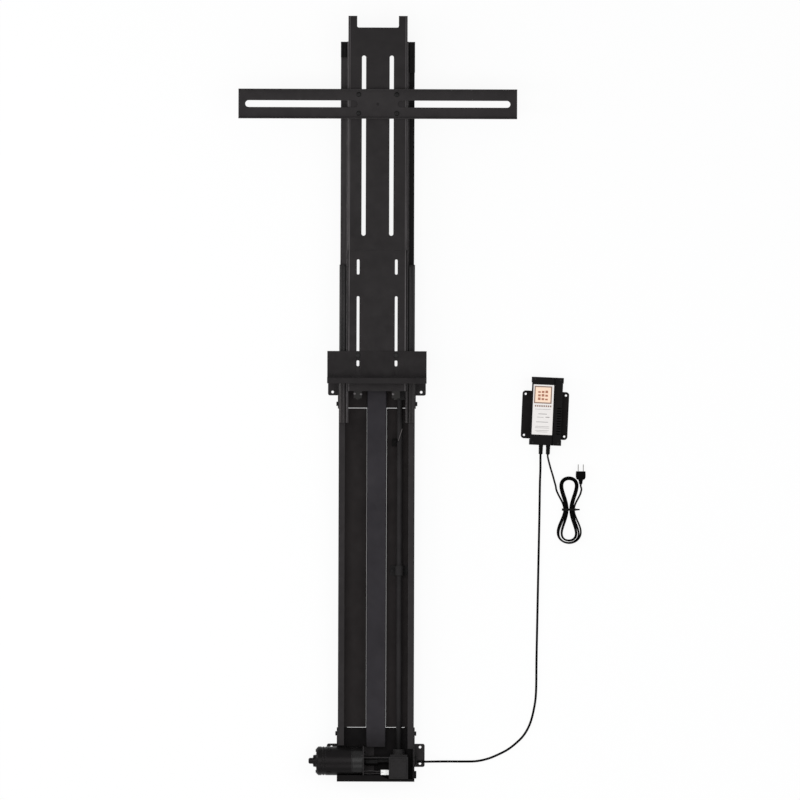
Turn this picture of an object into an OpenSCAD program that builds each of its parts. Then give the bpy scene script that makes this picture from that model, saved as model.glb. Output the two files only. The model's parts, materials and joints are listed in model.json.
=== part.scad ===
// Rack-and-pinion television lift, laid on its back: Z points out of its front, Y the way it lifts.
// The origin is the centre of the lower wall brackets' holes, on the back plane.

/* [Column] */
// Length of the two side rails
rail_len = 1046; // [1000:2:1200]
// Width of the column over its side rails
column_w = 190; // [186:1:200]
// Depth of a side rail from the back plane
rail_depth = 50; // [50:0.5:56]
// Width of a rail's front flange, which the mast's shoes grip
rail_flange_w = 15.3; // [14.5:0.1:15.5]
// Width of a rail's back flange, which carries the panels
rail_back_w = 23; // [17:0.5:24]
// Sheet thickness of the rails, panels and tray
sheet_t = 2; // [1.5:0.1:2.2]
// How far the rails reach below the origin
base_drop = 62; // [60:0.5:66]
// Height of the lower cross plate's top edge above the origin
low_plate_top = 69.5; // [66:0.5:80]
// Height of the upper cross plate
top_plate_h = 114; // [100:1:130]
// Open slit between the back panels and the cross plates
panel_slit = 1.7; // [1:0.1:5]
// Width of the middle spine
spine_w = 49; // [40:1:54]
// Depth of the middle spine in front of the panels
spine_depth = 30; // [20:1:31]
// Height of the spine's foot above the origin
spine_foot = 22; // [20:1:40]
// Open slit between the spine and the panels beside it
spine_slit = 0.9; // [0.5:0.1:3]

/* [Wall brackets] */
// Distance across, between the hole rows of the left and right ears
wall_hole_dx = 222; // [212:1:236]
// Distance between the two holes of one ear
wall_hole_dy = 41; // [34:0.5:44]
// Diameter of a wall hole
wall_hole_d = 6.5; // [5:0.1:8]
// Height of an ear
ear_h = 58; // [54:1:70]
// How far an ear reaches past its hole row
ear_margin = 11.5; // [9:0.5:16]
// Plate thickness of the brackets
ear_t = 2.5; // [2:0.1:4]
// Depth of the wing that lies along the rail
wing_depth = 44; // [36:1:48]
// Distance from the rails' top end down to the upper brackets' centre
bracket_drop = 54; // [40:1:60]
// Shank diameter of the side bolts
bolt_d = 6; // [5:0.5:8]

/* [Mast] */
// Width of the mast's plates
mast_w = 148; // [144:1:150]
// Plate thickness of the mast
mast_t = 2.5; // [2:0.1:3]
// Height of the mast's front face above the back plane
mast_front = 78; // [74:1:86]
// Depth of the folds along the plates' long edges
mast_fold = 18; // [14:1:20]
// Length of the lower plate
low_mast_len = 352; // [330:2:380]
// Length of the top plate, up to its notch
top_mast_len = 556; // [540:2:640]
// Height of the two prongs beside the notch
prong_h = 29; // [15:1:50]
// Width of a prong
prong_w = 22; // [12:1:30]
// Width of the top plate's two slots
top_slot_w = 10.3; // [6:0.1:14]
// Half the distance between the top plate's slots
top_slot_x = 34.6; // [26:0.2:35]
// Width of the lower plate's slots
low_slot_w = 6.6; // [6.4:0.1:9]
// Half the distance between the lower plate's slots
low_slot_x = 47.6; // [40:0.2:52]
// Length of the shoes that ride on the side rails
shoe_len = 395; // [300:5:420]
// Length of rail that the shoes still grip when the mast is up
shoe_grip = 151; // [120:1:170]
// How far the shoes reach below the mast's lower edge
shoe_drop = 79; // [60:1:90]
// Running gap between a shoe and the rail flange in it
shoe_gap = 0.3; // [0.2:0.05:0.5]
// How far the side runners stop below the prongs' tips
runner_drop = 64; // [60:1:120]

/* [Drive] */
// Gear module of the rack and its pinion
gear_module = 2; // [2]
// Number of teeth on the pinion
pinion_teeth = 14; // [14]
// Width of the pinion
pinion_w = 7.4; // [6:0.2:7.8]
// Total play between the pinion and the rack
backlash = 0.24; // [0.15:0.01:0.4]
// Diameter of the long drive shaft
drive_shaft_d = 14; // [10:0.5:15]
// Distance of the drive shaft from the middle of the column
drive_shaft_x = 57.5; // [56:0.5:59]
// Height of every shaft axis above the back plane
shaft_z = 25; // [24:0.5:26]
// Diameter of the pinion's shaft
pinion_shaft_d = 10; // [8:0.5:12]
// Radial running clearance of a shaft in its bearing
run_gap = 0.05; // [0.02:0.01:0.1]
// Distance from the rails' top end down to the pinion's axis
pinion_drop = 72; // [68:1:80]
// Height of the middle shaft support above the origin
support_y = 463; // [200:1:600]

/* [Motor] */
// Diameter of the motor
motor_d = 72; // [60:1:72]
// Length of the motor's can
motor_len = 84; // [60:1:120]
// Length of the motor's gearhead
gearhead_len = 28; // [22:1:36]
// Place of the motor bracket's mounting face, left of the middle
motor_face_x = 32; // [30:1:40]
// Distance of the motor's axis below the origin
motor_drop = 13; // [12:0.5:15]
// Diameter of the cross shaft
cross_shaft_d = 14; // [10:0.5:15]
// Width of the lower gearbox
gearbox_w = 48; // [44:1:50]
// Height of the lower gearbox
gearbox_h = 55; // [50:1:56]
// Top of the lower gearbox above the back plane
gearbox_top = 64; // [50:1:68]

/* [Crossbar] */
// Length of the crossbar
bar_len = 696; // [600:2:900]
// Height of the crossbar
bar_h = 74; // [64:1:90]
// Depth of the crossbar's lips
bar_lip = 10; // [4:0.5:16]
// Width of the crossbar's slots
bar_slot_w = 17; // [8:0.5:20]
// Length of a crossbar slot
bar_slot_len = 281; // [200:1:290]
// Distance from the notch down to the crossbar's middle
bar_drop = 191; // [120:1:300]
// Half the distance across between the crossbar's bolts
bar_bolt_x = 47.5; // [46.5:0.5:60]
// Half the distance along the mast between the crossbar's bolts
bar_bolt_y = 23.4; // [18:0.2:26]

/* [Shelf] */
// Width of the shelf bracket
shelf_w = 248; // [200:2:320]
// Height of the shelf bracket's back plate
shelf_h = 68; // [60:1:80]
// Depth of the shelf in front of the mast
shelf_depth = 52; // [30:1:120]
// Height of the shelf's turned-down lip
shelf_lip = 16; // [8:0.5:24]
// Height of the shelf above the mast's lower edge
shelf_rise = 32; // [28:1:60]

/* [Power supply] */
// Width of the power supply's case
supply_w = 77; // [76:1:90]
// Length of the power supply's case
supply_len = 170; // [160:1:190]
// Height of the power supply's case
supply_h = 48; // [40:1:60]
// Width of the power supply's mounting flange
supply_flange_w = 117; // [112:1:130]
// Length of the power supply's mounting flange
supply_flange_len = 120; // [110:1:140]
// Distance across between the flange's holes
supply_hole_dx = 101; // [98:1:104]
// Distance along between the flange's holes
supply_hole_dy = 103; // [90:1:106]
// Diameter of a flange hole
supply_hole_d = 5.5; // [4:0.5:7]

/* [Cords] */
// Diameter of the motor lead
motor_lead_d = 5.5; // [4:0.1:6]
// Diameter of the mains lead
mains_lead_d = 4.6; // [4.5:0.1:5.2]

/* [Hidden] */
$fn = 48;

// Column outlines
rail_top = rail_len - base_drop;
half_w = column_w / 2;
flange_in = half_w - rail_flange_w;
web_in = half_w - sheet_t;
flange_back = rail_depth - sheet_t;
panel_front = 2 * sheet_t;
panel_edge = web_in - 0.1;
top_plate_inset = 12;
top_plate_y0 = rail_top - top_plate_h;
panel_y0 = low_plate_top + panel_slit;
panel_y1 = top_plate_y0 - panel_slit;
panel_in = spine_w / 2 + spine_slit;
upper_y = rail_top - bracket_drop;
ear_out = wall_hole_dx / 2 + ear_margin;
wing_out = half_w + ear_t;
ear_round = 5;
wing_tail = 33;
low_wing_top = 70;
side_bolt_z = 14;
tray_bolt_y = 14 - base_drop;
tray_lip_h = 16;
upper_bolt_ys = [upper_y - ear_h / 2 - 21, upper_y + ear_h / 2 + 13];
lower_bolt_y = 55;
bolt_head_d = 11;
bolt_head_h = 4;
nut_h = 4;

// Drive outlines
pitch = PI * gear_module;
pressure_angle = 20;
pitch_r = gear_module * pinion_teeth / 2;
pinion_add = gear_module;
pinion_ded = 0.95 * gear_module;
rack_add = 0.75 * gear_module;
rack_ded = 1.25 * gear_module;
rack_pitch_z = shaft_z + pitch_r;
rack_root_z = rack_pitch_z + rack_ded;
rack_tip_z = rack_pitch_z - rack_add;
rack_front_z = rack_root_z + 2.5;
pinion_y = rail_top - pinion_drop;
upper_box_h = 44;
upper_box_y0 = pinion_y - upper_box_h / 2;
upper_box_x0 = drive_shaft_x - 15.5;
upper_box_x1 = drive_shaft_x + 15.5;
shaft_seat = 12;
seat_play = 0.3;
bush_d = pinion_shaft_d + 8;
bush_collar = 2.5;
switch_pos = [drive_shaft_x - 19.5, upper_box_y0 - 116];

// Mast outlines
half_mast = mast_w / 2;
plate_back = mast_front - mast_t;
shoe_y0 = rail_top - shoe_grip;
mast_y0 = shoe_y0 + shoe_drop;
seam_y = mast_y0 + low_mast_len;
seam_gap = 0.2;
notch_y = seam_y + top_mast_len;
prong_top = notch_y + prong_h;
runner_top = prong_top - runner_drop;
runner_t = 2.5;
runner_out = half_mast + runner_t;
runner_front = mast_front - 4;
lip_back = rack_front_z - runner_t;
lip_out = half_w - 2.6;
runner_ridge = 2.5;
shoe_root = flange_in - shoe_gap;
wing_in = lip_out - runner_ridge - 0.3;
left_glide_len = 39;
right_glide_len = 77;
rack_x0 = half_mast + 5;
rack_x1 = lip_out - 0.5;
rack_y0 = pinion_y - 4 * pitch;
pinion_x1 = rack_x1 - 0.5;
bush_x0 = pinion_x1 + 0.6;
spine_front_z = panel_front + spine_depth;
bar_y = notch_y - bar_drop;
shelf_y = mast_y0 + shelf_rise;
top_slot_y1 = notch_y - 70;
top_slot_y0 = seam_y + 36;
low_slot_long = [mast_y0 + 62, mast_y0 + 237];
low_slot_short = [mast_y0 + 291, mast_y0 + 329];
shelf_bolt_y = shelf_y + shelf_h - 11;
shelf_washer_d = 14;
bar_t = 2.5;
shelf_t = 3;
inner_nut_h = 5;
bolt_tail = 2;

// Base outlines
gearbox_x0 = drive_shaft_x - gearbox_w / 2 - 0.5;
gearbox_x1 = gearbox_x0 + gearbox_w;
gearbox_y1 = -2;
gearbox_y0 = gearbox_y1 - gearbox_h;
gearbox_foot = panel_front + 6;
collar_top = 16;
motor_lift = 2;
motor_z = panel_front + motor_d / 2 + motor_lift;
can_x1 = -motor_face_x - gearhead_len;
can_x0 = can_x1 - motor_len;
bracket_t = 2.5;
bracket_x1 = -motor_face_x + bracket_t;
motor_notch_y1 = motor_d / 2 - motor_drop + 3;
motor_notch_y0 = -motor_drop - motor_d / 2 - 1.5;
gland_y = -15;
gland_z = shaft_z;
gland_d = 16;
gland_tip = wing_out + 6.5;
wire_y = -41;
wire_z = 50;
connector_len = 20;

// Power supply outlines
supply_pos = [424.5, 863, 0];
supply_turn = -2.3;
flange_offset = [-3, -10, 0];
supply_t = 3;
shoulder_w = 22;
shoulder_drop = 7;
relief_len = 23;
relief_z = 18;
relief_x = [-10, 8];

// Hank of the mains lead
hank_pos = [482, 617];
hank_half = 76;
hank_waist = 3;
hank_swell = 37;
hank_round = 1.8;
hank_step = mains_lead_d + 1.5;
hank_lift = mains_lead_d + 1.5;
hank_z = mains_lead_d / 2 + 1.6;
hank_side = 7;
hank_turns = 1.6;
hank_start = 130;
hank_ring = 15;
hank_total = 360 * (2 * hank_turns + 0.5) + 3;
tie_w = 6;
tie_t = 1.2;

// Plug
plug_pos = [511, 692, 9.7];
plug_w = 25;
plug_h = 21;
plug_thick = 15;
blade_gap = 12.7;

// Hand-chosen routes of the free leads
motor_lead_points = [
    [128, -15, 21], [155, -15, 9], [188, -15, 3], [222, -15, 3], [252, -14, 3], [280, -8, 3],
    [305, 2, 3], [330, 15, 3], [352, 32, 3], [371, 52, 3], [386, 80, 3], [396, 118, 3],
    [401, 160, 3], [402, 245, 3], [404, 365, 3], [406, 485, 3], [408, 600, 3], [409, 680, 4],
    [410, 715, 9]
];
mains_lead_points = [[431, 737, 12], [436, 719, 7], [441, 703, 4.5]];
plug_lead_points = [[513, 668, 10]];

module along_y(y0, len) {
    translate([0, y0 + len, 0]) rotate([90, 0, 0]) linear_extrude(len) children();
}

module along_x(x0, len) {
    translate([x0, 0, 0]) rotate([90, 0, 90]) linear_extrude(len) children();
}

module rounded(w, h, r) {
    square([w - 2 * r, h], center = true);
    square([w, h - 2 * r], center = true);
    for (x = [-1, 1], y = [-1, 1]) translate([x * (w / 2 - r), y * (h / 2 - r)]) circle(r);
}

module slot(len, w) {
    square([len - w, w], center = true);
    for (s = [-1, 1]) translate([s * (len - w) / 2, 0]) circle(d = w);
}

module upright_slot(x, span, w) {
    translate([x, (span[0] + span[1]) / 2]) rotate(90) slot(span[1] - span[0], w);
}

module hex_head(d, h) {
    cylinder(d = d, h = h, $fn = 6);
}

// Column

module rail_section() {
    bend = 2.5;
    difference() {
        union() {
            translate([flange_in, 0]) square([rail_flange_w, rail_depth - bend]);
            translate([flange_in, 0]) square([rail_flange_w - bend, rail_depth]);
            translate([half_w - bend, rail_depth - bend]) circle(bend);
            translate([half_w - rail_back_w, 0]) square([rail_back_w, sheet_t]);
        }
        translate([flange_in - 1, sheet_t])
            square([web_in - flange_in + 1, flange_back - sheet_t]);
    }
}

module side_rail() {
    along_y(-base_drop, rail_len) rail_section();
}

module rail_bolt_holes(ys) {
    for (y = ys) translate([web_in - 1, y, side_bolt_z]) rotate([0, 90, 0])
        cylinder(d = bolt_d + 0.2, h = sheet_t + 2);
}

module left_side_rail() {
    color("dimgray") mirror([1, 0, 0]) difference() {
        side_rail();
        translate([flange_in - 1, motor_notch_y0, sheet_t])
            cube([rail_flange_w + 2, motor_notch_y1 - motor_notch_y0, rail_depth]);
        rail_bolt_holes(concat(upper_bolt_ys, [lower_bolt_y]));
    }
}

module right_side_rail() {
    color("dimgray") difference() {
        side_rail();
        translate([flange_in - 1, -base_drop - 1, flange_back - 3])
            cube([web_in - flange_in + 1, base_drop + 19, sheet_t + 4]);
        translate([web_in - 1, gland_y, gland_z]) rotate([0, 90, 0])
            cylinder(d = gland_d + 0.2, h = sheet_t + 2);
        translate([web_in - 1, pinion_y, shaft_z]) rotate([0, 90, 0])
            cylinder(d = bush_d, h = sheet_t + 2);
        rail_bolt_holes(concat(upper_bolt_ys, [lower_bolt_y]));
    }
}

module back_panel(side) {
    color("gray") translate([side > 0 ? panel_in : -panel_edge, panel_y0, sheet_t])
        cube([panel_edge - panel_in, panel_y1 - panel_y0, sheet_t]);
}

module bottom_cross_plate() {
    color("gray") translate([-panel_edge, -base_drop, sheet_t])
        cube([2 * panel_edge, base_drop + low_plate_top, sheet_t]);
}

module top_cross_plate() {
    color("gray") translate([-panel_edge, top_plate_y0, sheet_t])
        cube([2 * panel_edge, top_plate_h - top_plate_inset, sheet_t]);
}

module centre_spine() {
    bend = 3;
    color("silver") along_y(spine_foot, rail_top - spine_foot) translate([0, panel_front]) {
        difference() {
            union() {
                translate([-spine_w / 2, 0]) square([spine_w, spine_depth - bend]);
                translate([bend - spine_w / 2, 0]) square([spine_w - 2 * bend, spine_depth]);
                for (s = [-1, 1]) translate([s * (spine_w / 2 - bend), spine_depth - bend])
                    circle(bend);
            }
            translate([sheet_t - spine_w / 2, -1])
                square([spine_w - 2 * sheet_t, spine_depth - sheet_t + 1]);
        }
    }
}

module base_tray() {
    low_lip_h = 6;
    tray_d = 60;
    wall_top = -30;
    color("dimgray") {
        translate([-half_w - sheet_t, -base_drop - sheet_t, 0])
            cube([column_w + 2 * sheet_t, sheet_t, tray_d]);
        translate([0, 0, tray_d - sheet_t]) linear_extrude(sheet_t) polygon([
            [-half_w - sheet_t, -base_drop - sheet_t], [half_w + sheet_t, -base_drop - sheet_t],
            [half_w + sheet_t, -base_drop - sheet_t + low_lip_h],
            [gearbox_x0, -base_drop - sheet_t + low_lip_h],
            [gearbox_x0 - 25, -base_drop - sheet_t + tray_lip_h],
            [-half_w - sheet_t, -base_drop - sheet_t + tray_lip_h]
        ]);
        translate([-half_w - sheet_t, -base_drop - sheet_t, 0])
            cube([sheet_t, base_drop + sheet_t + motor_notch_y0, tray_d]);
        difference() {
            translate([half_w, -base_drop - sheet_t, 0])
                cube([sheet_t, base_drop + sheet_t + wall_top, tray_d - 12]);
            translate([half_w - 1, tray_bolt_y, side_bolt_z]) rotate([0, 90, 0])
                cylinder(d = bolt_d + 0.2, h = sheet_t + 2);
        }
    }
}

// Wall brackets

module wall_bracket(side, centre_y, wing_y0, wing_y1, bolt_ys, gland, chamfer = 14) {
    color("dimgray") mirror([side > 0 ? 0 : 1, 0, 0]) difference() {
        union() {
            linear_extrude(ear_t) difference() {
                translate([0, centre_y]) union() {
                    translate([half_w, -ear_h / 2])
                        square([ear_out - half_w - ear_round, ear_h]);
                    translate([half_w, ear_round - ear_h / 2])
                        square([ear_out - half_w, ear_h - 2 * ear_round]);
                    for (s = [-1, 1])
                        translate([ear_out - ear_round, s * (ear_h / 2 - ear_round)])
                            circle(ear_round);
                }
                for (s = [-1, 1])
                    translate([wall_hole_dx / 2, centre_y + s * wall_hole_dy / 2])
                        circle(d = wall_hole_d);
            }
            along_x(half_w, ear_t) polygon([
                [wing_y0, 0], [wing_y1, 0], [wing_y1, wing_depth],
                [wing_y0 + chamfer, wing_depth], [wing_y0, wing_depth - chamfer]
            ]);
        }
        for (y = bolt_ys) translate([half_w - 1, y, side_bolt_z]) rotate([0, 90, 0])
            cylinder(d = bolt_d + 0.2, h = ear_t + 2);
        if (gland) translate([half_w - 1, gland_y, gland_z]) rotate([0, 90, 0])
            cylinder(d = gland_d + 0.2, h = ear_t + 2);
    }
}

module top_wall_bracket(side) {
    wall_bracket(side, upper_y, upper_y - ear_h / 2 - wing_tail, rail_top, upper_bolt_ys, false);
}

module bottom_left_wall_bracket() {
    wall_bracket(-1, 0, motor_notch_y1, low_wing_top, [lower_bolt_y], false);
}

module bottom_right_wall_bracket() {
    wall_bracket(1, 0, -ear_h / 2, low_wing_top, [lower_bolt_y], true, chamfer = 8);
}

module side_bolt(outer_x, y) {
    translate([0, y, side_bolt_z]) rotate([0, 90, 0]) {
        translate([0, 0, outer_x]) hex_head(bolt_head_d, bolt_head_h);
        translate([0, 0, web_in - nut_h]) cylinder(d = bolt_d, h = outer_x - web_in + nut_h);
        translate([0, 0, web_in - nut_h]) hex_head(bolt_head_d, nut_h);
    }
}

module frame_bolts() {
    color("silver") {
        for (side = [0, 1]) mirror([side, 0, 0])
            for (y = concat(upper_bolt_ys, [lower_bolt_y])) side_bolt(wing_out, y);
        translate([0, tray_bolt_y, side_bolt_z]) rotate([0, 90, 0])
            translate([0, 0, half_w + sheet_t]) {
                hex_head(2 * bolt_head_d - 4, bolt_head_h + 1);
                translate([0, 0, -sheet_t]) cylinder(d = bolt_d, h = sheet_t + 1);
            }
    }
}

// Motor and drive

module on_motor_axis(x) {
    translate([x, -motor_drop, motor_z]) rotate([0, 90, 0]) children();
}

module motor_can() {
    groove = 1.2;
    color("#26262a") on_motor_axis(can_x0) rotate_extrude() polygon([
        [0, 0], [motor_d / 2, 0], [motor_d / 2, 8], [motor_d / 2 - groove, 9],
        [motor_d / 2 - groove, 11], [motor_d / 2, 12], [motor_d / 2, 15],
        [motor_d / 2 - groove, 16], [motor_d / 2 - groove, 18], [motor_d / 2, 19],
        [motor_d / 2, motor_len], [0, motor_len]
    ]);
}

module motor_end_bell() {
    boss_r = 15.5;
    knob_r = 7.5;
    color("#26262a") on_motor_axis(can_x0) rotate_extrude() polygon([
        [0, 0], [motor_d / 2 - 1, 0], [motor_d / 2 - 4, -4], [boss_r + 1, -5], [boss_r, -6],
        [boss_r - 1, -12], [knob_r + 1, -13], [knob_r, -14], [knob_r, -21],
        [knob_r - 2.5, -24], [0, -24]
    ]);
}

module motor_gearhead() {
    rim = 1.5;
    color("#55555a") difference() {
        on_motor_axis(can_x1) rotate_extrude() polygon([
            [0, 0], [motor_d / 2, 0], [motor_d / 2, rim], [motor_d / 2 - 0.8, rim + 0.8],
            [motor_d / 2 - 0.8, gearhead_len - rim - 0.8], [motor_d / 2, gearhead_len - rim],
            [motor_d / 2, gearhead_len], [0, gearhead_len]
        ]);
        on_cross_axis(-motor_face_x - shaft_seat)
            cylinder(d = cross_shaft_d + 2 * run_gap, h = shaft_seat + 1);
    }
}

module on_cross_axis(x) {
    translate([x, -motor_drop, shaft_z]) rotate([0, 90, 0]) children();
}

module motor_bracket() {
    plate_y0 = tray_lip_h - base_drop - sheet_t + 0.5;
    plate_y1 = spine_foot + 3;
    foot = 25;
    bridge_z = 40;
    bridge_y = -5;
    color("#606066") difference() {
        union() {
            translate([-motor_face_x, plate_y0, panel_front])
                cube([bracket_t, plate_y1 - plate_y0, motor_z + motor_d / 2 - panel_front + 1]);
            translate([-motor_face_x, plate_y0, panel_front])
                cube([foot + bracket_t, plate_y1 - plate_y0 - 4, bracket_t]);
            translate([-motor_face_x, bridge_y, bridge_z])
                cube([gearbox_x0 + motor_face_x, bracket_t, gearbox_top - bridge_z - 2]);
        }
        on_cross_axis(-motor_face_x - 1) cylinder(d = cross_shaft_d + 6, h = bracket_t + 2);
    }
}

module wire_connector() {
    wide = 12.5;
    color("white") translate([gearbox_x0 - connector_len, wire_y - wide / 2, wire_z - 6])
        difference() {
        cube([connector_len, wide, 12]);
        translate([-1, wide / 2 - 1, 9]) cube([7, 2, 4]);
        translate([13, -1, 10.5]) cube([3, wide + 2, 3]);
    }
}

module motor_wires() {
    color("black") for (s = [-1, 1])
        translate([bracket_x1, wire_y + s * 3, wire_z]) rotate([0, 90, 0])
            cylinder(d = 2.6, h = gearbox_x0 - connector_len - bracket_x1);
}

module cross_shaft() {
    color("#323236") on_cross_axis(seat_play - motor_face_x - shaft_seat)
        cylinder(d = cross_shaft_d, h = motor_face_x + gearbox_x0 + 2 * (shaft_seat - seat_play));
}

module shaft_coupling() {
    len = 32;
    color("#4a4a4e") difference() {
        on_cross_axis(-26) rotate_extrude() polygon([
            [cross_shaft_d / 2, 0], [11, 0], [12, 1], [12, len - 1], [11, len],
            [cross_shaft_d / 2, len]
        ]);
        for (x = [-19, -1]) translate([x, -motor_drop, shaft_z + 9]) cylinder(d = 4, h = 6);
    }
}

module lower_gearbox() {
    flange_t = 5;
    collar_d = 30;
    color("#3c3c40") difference() {
        union() {
            translate([gearbox_x0, gearbox_y0, gearbox_foot])
                cube([gearbox_w, gearbox_h, gearbox_top - gearbox_foot]);
            for (x = [gearbox_x0 + 7, gearbox_x1 - 7], y = [gearbox_y0 + 7, gearbox_y1 - 7])
                translate([x, y, panel_front]) cylinder(d = 10, h = 7);
            translate([gearbox_x0 + 3, gearbox_y1, gearbox_foot])
                cube([gearbox_w - 5, flange_t, gearbox_top - gearbox_foot - 14]);
            translate([drive_shaft_x, gearbox_y1, shaft_z]) rotate([-90, 0, 0])
                cylinder(d = collar_d, h = collar_top - gearbox_y1);
        }
        translate([drive_shaft_x, collar_top - shaft_seat, shaft_z]) rotate([-90, 0, 0])
            cylinder(d = drive_shaft_d + 2 * run_gap, h = shaft_seat + 1);
        on_cross_axis(gearbox_x0 - 1)
            cylinder(d = cross_shaft_d + 2 * run_gap, h = shaft_seat + 1);
    }
}

module lower_gearbox_cover() {
    inset = 4;
    color("#4a4a4e") translate([gearbox_x0 + inset, gearbox_y0 + inset, gearbox_top]) {
        cube([gearbox_w - 2 * inset, gearbox_h - 2 * inset, 2]);
        for (x = [5, gearbox_w - 2 * inset - 5], y = [5, gearbox_h - 2 * inset - 5])
            translate([x, y, 2]) cylinder(d = 5, h = 1.6);
    }
}

module drive_shaft() {
    shaft_y0 = collar_top - shaft_seat + seat_play;
    color("#323236") translate([drive_shaft_x, shaft_y0, shaft_z]) rotate([-90, 0, 0])
        cylinder(d = drive_shaft_d, h = upper_box_y0 + shaft_seat - seat_play - shaft_y0);
}

module shaft_support() {
    block_w = 23;
    foot_w = 47;
    len = 24;
    screw_x = 17.5;
    color("#6a6a6e") difference() {
        translate([drive_shaft_x, support_y, panel_front]) {
            translate([-block_w / 2, -len / 2, 0])
                cube([block_w, len, shaft_z - panel_front]);
            translate([0, -len / 2, shaft_z - panel_front]) rotate([-90, 0, 0])
                cylinder(d = block_w, h = len);
            translate([-foot_w / 2, -len / 2, 0]) cube([foot_w, len, 3]);
            for (s = [-1, 1]) translate([s * screw_x, 0, 3]) hex_head(9, 3.5);
        }
        translate([drive_shaft_x, support_y - len / 2 - 1, shaft_z]) rotate([-90, 0, 0])
            cylinder(d = drive_shaft_d + 2 * run_gap, h = len + 2);
    }
}

module upper_gearbox() {
    box_z0 = 9;
    box_z1 = shaft_z + 12;
    color("#3c3c40") difference() {
        union() {
            translate([upper_box_x0, upper_box_y0, box_z0])
                cube([upper_box_x1 - upper_box_x0, upper_box_h, box_z1 - box_z0]);
            for (x = [upper_box_x0 + 6, upper_box_x1 - 6], y = [6, upper_box_h - 6])
                translate([x, upper_box_y0 + y, panel_front]) cylinder(d = 9, h = 6);
            for (x = [upper_box_x0 + 5, upper_box_x1 - 5], y = [5, upper_box_h - 5])
                translate([x, upper_box_y0 + y, box_z1]) cylinder(d = 5, h = 1.2);
        }
        translate([drive_shaft_x, upper_box_y0 - 1, shaft_z]) rotate([-90, 0, 0])
            cylinder(d = drive_shaft_d + 2 * run_gap, h = shaft_seat + 1);
        translate([upper_box_x1 - shaft_seat, pinion_y, shaft_z]) rotate([0, 90, 0])
            cylinder(d = pinion_shaft_d + 2 * run_gap, h = shaft_seat + 1);
    }
}

module pinion_shaft() {
    x0 = upper_box_x1 - shaft_seat + seat_play;
    color("silver") translate([x0, pinion_y, shaft_z]) rotate([0, 90, 0])
        cylinder(d = pinion_shaft_d, h = half_w - seat_play - x0);
}

module pinion_bush() {
    color("goldenrod") translate([bush_x0, pinion_y, shaft_z]) rotate([0, 90, 0]) difference() {
        union() {
            cylinder(d = bush_d, h = half_w - bush_x0);
            cylinder(d = bush_d + 2 * bush_collar, h = web_in - bush_x0);
        }
        translate([0, 0, -1])
            cylinder(d = pinion_shaft_d + 2 * run_gap, h = half_w - bush_x0 + 2);
    }
}

function involute_at(r, base_r) = let (a = acos(base_r / r)) tan(a) * 180 / PI - a;

function flank_angle(r, base_r, pitch_half) =
    pitch_half + involute_at(pitch_r, base_r) - involute_at(max(r, base_r), base_r);

function pinion_outline() = let (
    base_r = pitch_r * cos(pressure_angle),
    root_r = pitch_r - pinion_ded,
    tip_r = pitch_r + pinion_add,
    pitch_half = 90 / pinion_teeth - backlash / 2 / pitch_r * 180 / PI,
    steps = 4,
    radii = concat([root_r], [for (i = [0 : steps]) base_r + (tip_r - base_r) * i / steps])
) [
    for (t = [0 : pinion_teeth - 1], side = [-1, 1], i = [0 : len(radii) - 1])
        let (
            r = side < 0 ? radii[i] : radii[len(radii) - 1 - i],
            a = 360 * t / pinion_teeth + 90 + side * flank_angle(r, base_r, pitch_half)
        ) [r * cos(a), r * sin(a)]
];

module drive_pinion() {
    color("#8a8a90") translate([0, pinion_y, shaft_z]) along_x(pinion_x1 - pinion_w, pinion_w)
        difference() {
            polygon(pinion_outline());
            circle(d = pinion_shaft_d);
        }
}

module gear_rack() {
    half_tip = pitch / 4 - rack_add * tan(pressure_angle);
    half_root = pitch / 4 + rack_ded * tan(pressure_angle);
    groove_half = 1.3;
    groove_depth = 1;
    spine_inset = 1.5;
    count = floor((runner_top - rack_y0 - 1) / pitch);
    first_y = rack_y0 + pitch / 2;
    back = [
        for (i = [0 : count - 1]) let (y = first_y + i * pitch)
            each [[y - half_root, rack_root_z], [y - half_tip, rack_tip_z],
                [y + half_tip, rack_tip_z], [y + half_root, rack_root_z]]
    ];
    front = [
        for (i = [count - 1 : -1 : 0]) let (y = first_y + i * pitch)
            each [[y + groove_half, rack_front_z], [y + groove_half, rack_front_z - groove_depth],
                [y - groove_half, rack_front_z - groove_depth], [y - groove_half, rack_front_z]]
    ];
    rack_end = first_y + (count - 0.5) * pitch;
    color("#2e2e32") {
        along_x(rack_x0, rack_x1 - rack_x0) polygon(concat(
            [[rack_y0, rack_front_z], [rack_y0, rack_root_z]], back,
            [[rack_end, rack_root_z], [rack_end, rack_front_z]], front
        ));
        along_y(rack_y0 + spine_inset, rack_end - rack_y0 - 2 * spine_inset) polygon([
            [half_mast + 0.2, rack_tip_z], [rack_x0 + 1, rack_tip_z],
            [rack_x0 + 1, rack_root_z + 1], [rack_x0, rack_root_z + 1],
            [rack_x0, lip_back], [half_mast + 0.2, lip_back]
        ]);
    }
}

module cable_gland() {
    color("black") translate([0, gland_y, gland_z]) rotate([0, 90, 0]) {
        translate([0, 0, web_in - 5]) hex_head(22, 5);
        translate([0, 0, web_in - 5]) cylinder(d = gland_d, h = wing_out - web_in + 5);
        translate([0, 0, wing_out]) rotate_extrude() polygon([
            [0, 0], [11, 0], [11, 2], [8.5, 5], [5, gland_tip - wing_out], [0, gland_tip - wing_out]
        ]);
    }
}

module limit_switch() {
    arm_z = shaft_z + drive_shaft_d / 2 + 2;
    color("#1c1c1e") translate([switch_pos[0], switch_pos[1], panel_front]) {
        cube([11, 19, 12]);
        translate([6, 14, 11]) cube([4, 4, arm_z - panel_front - 11]);
        translate([7, 16, arm_z - panel_front - 1.5]) rotate([0, 0, -50]) cube([1.5, 22, 1.5]);
    }
}

// Mast

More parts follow.
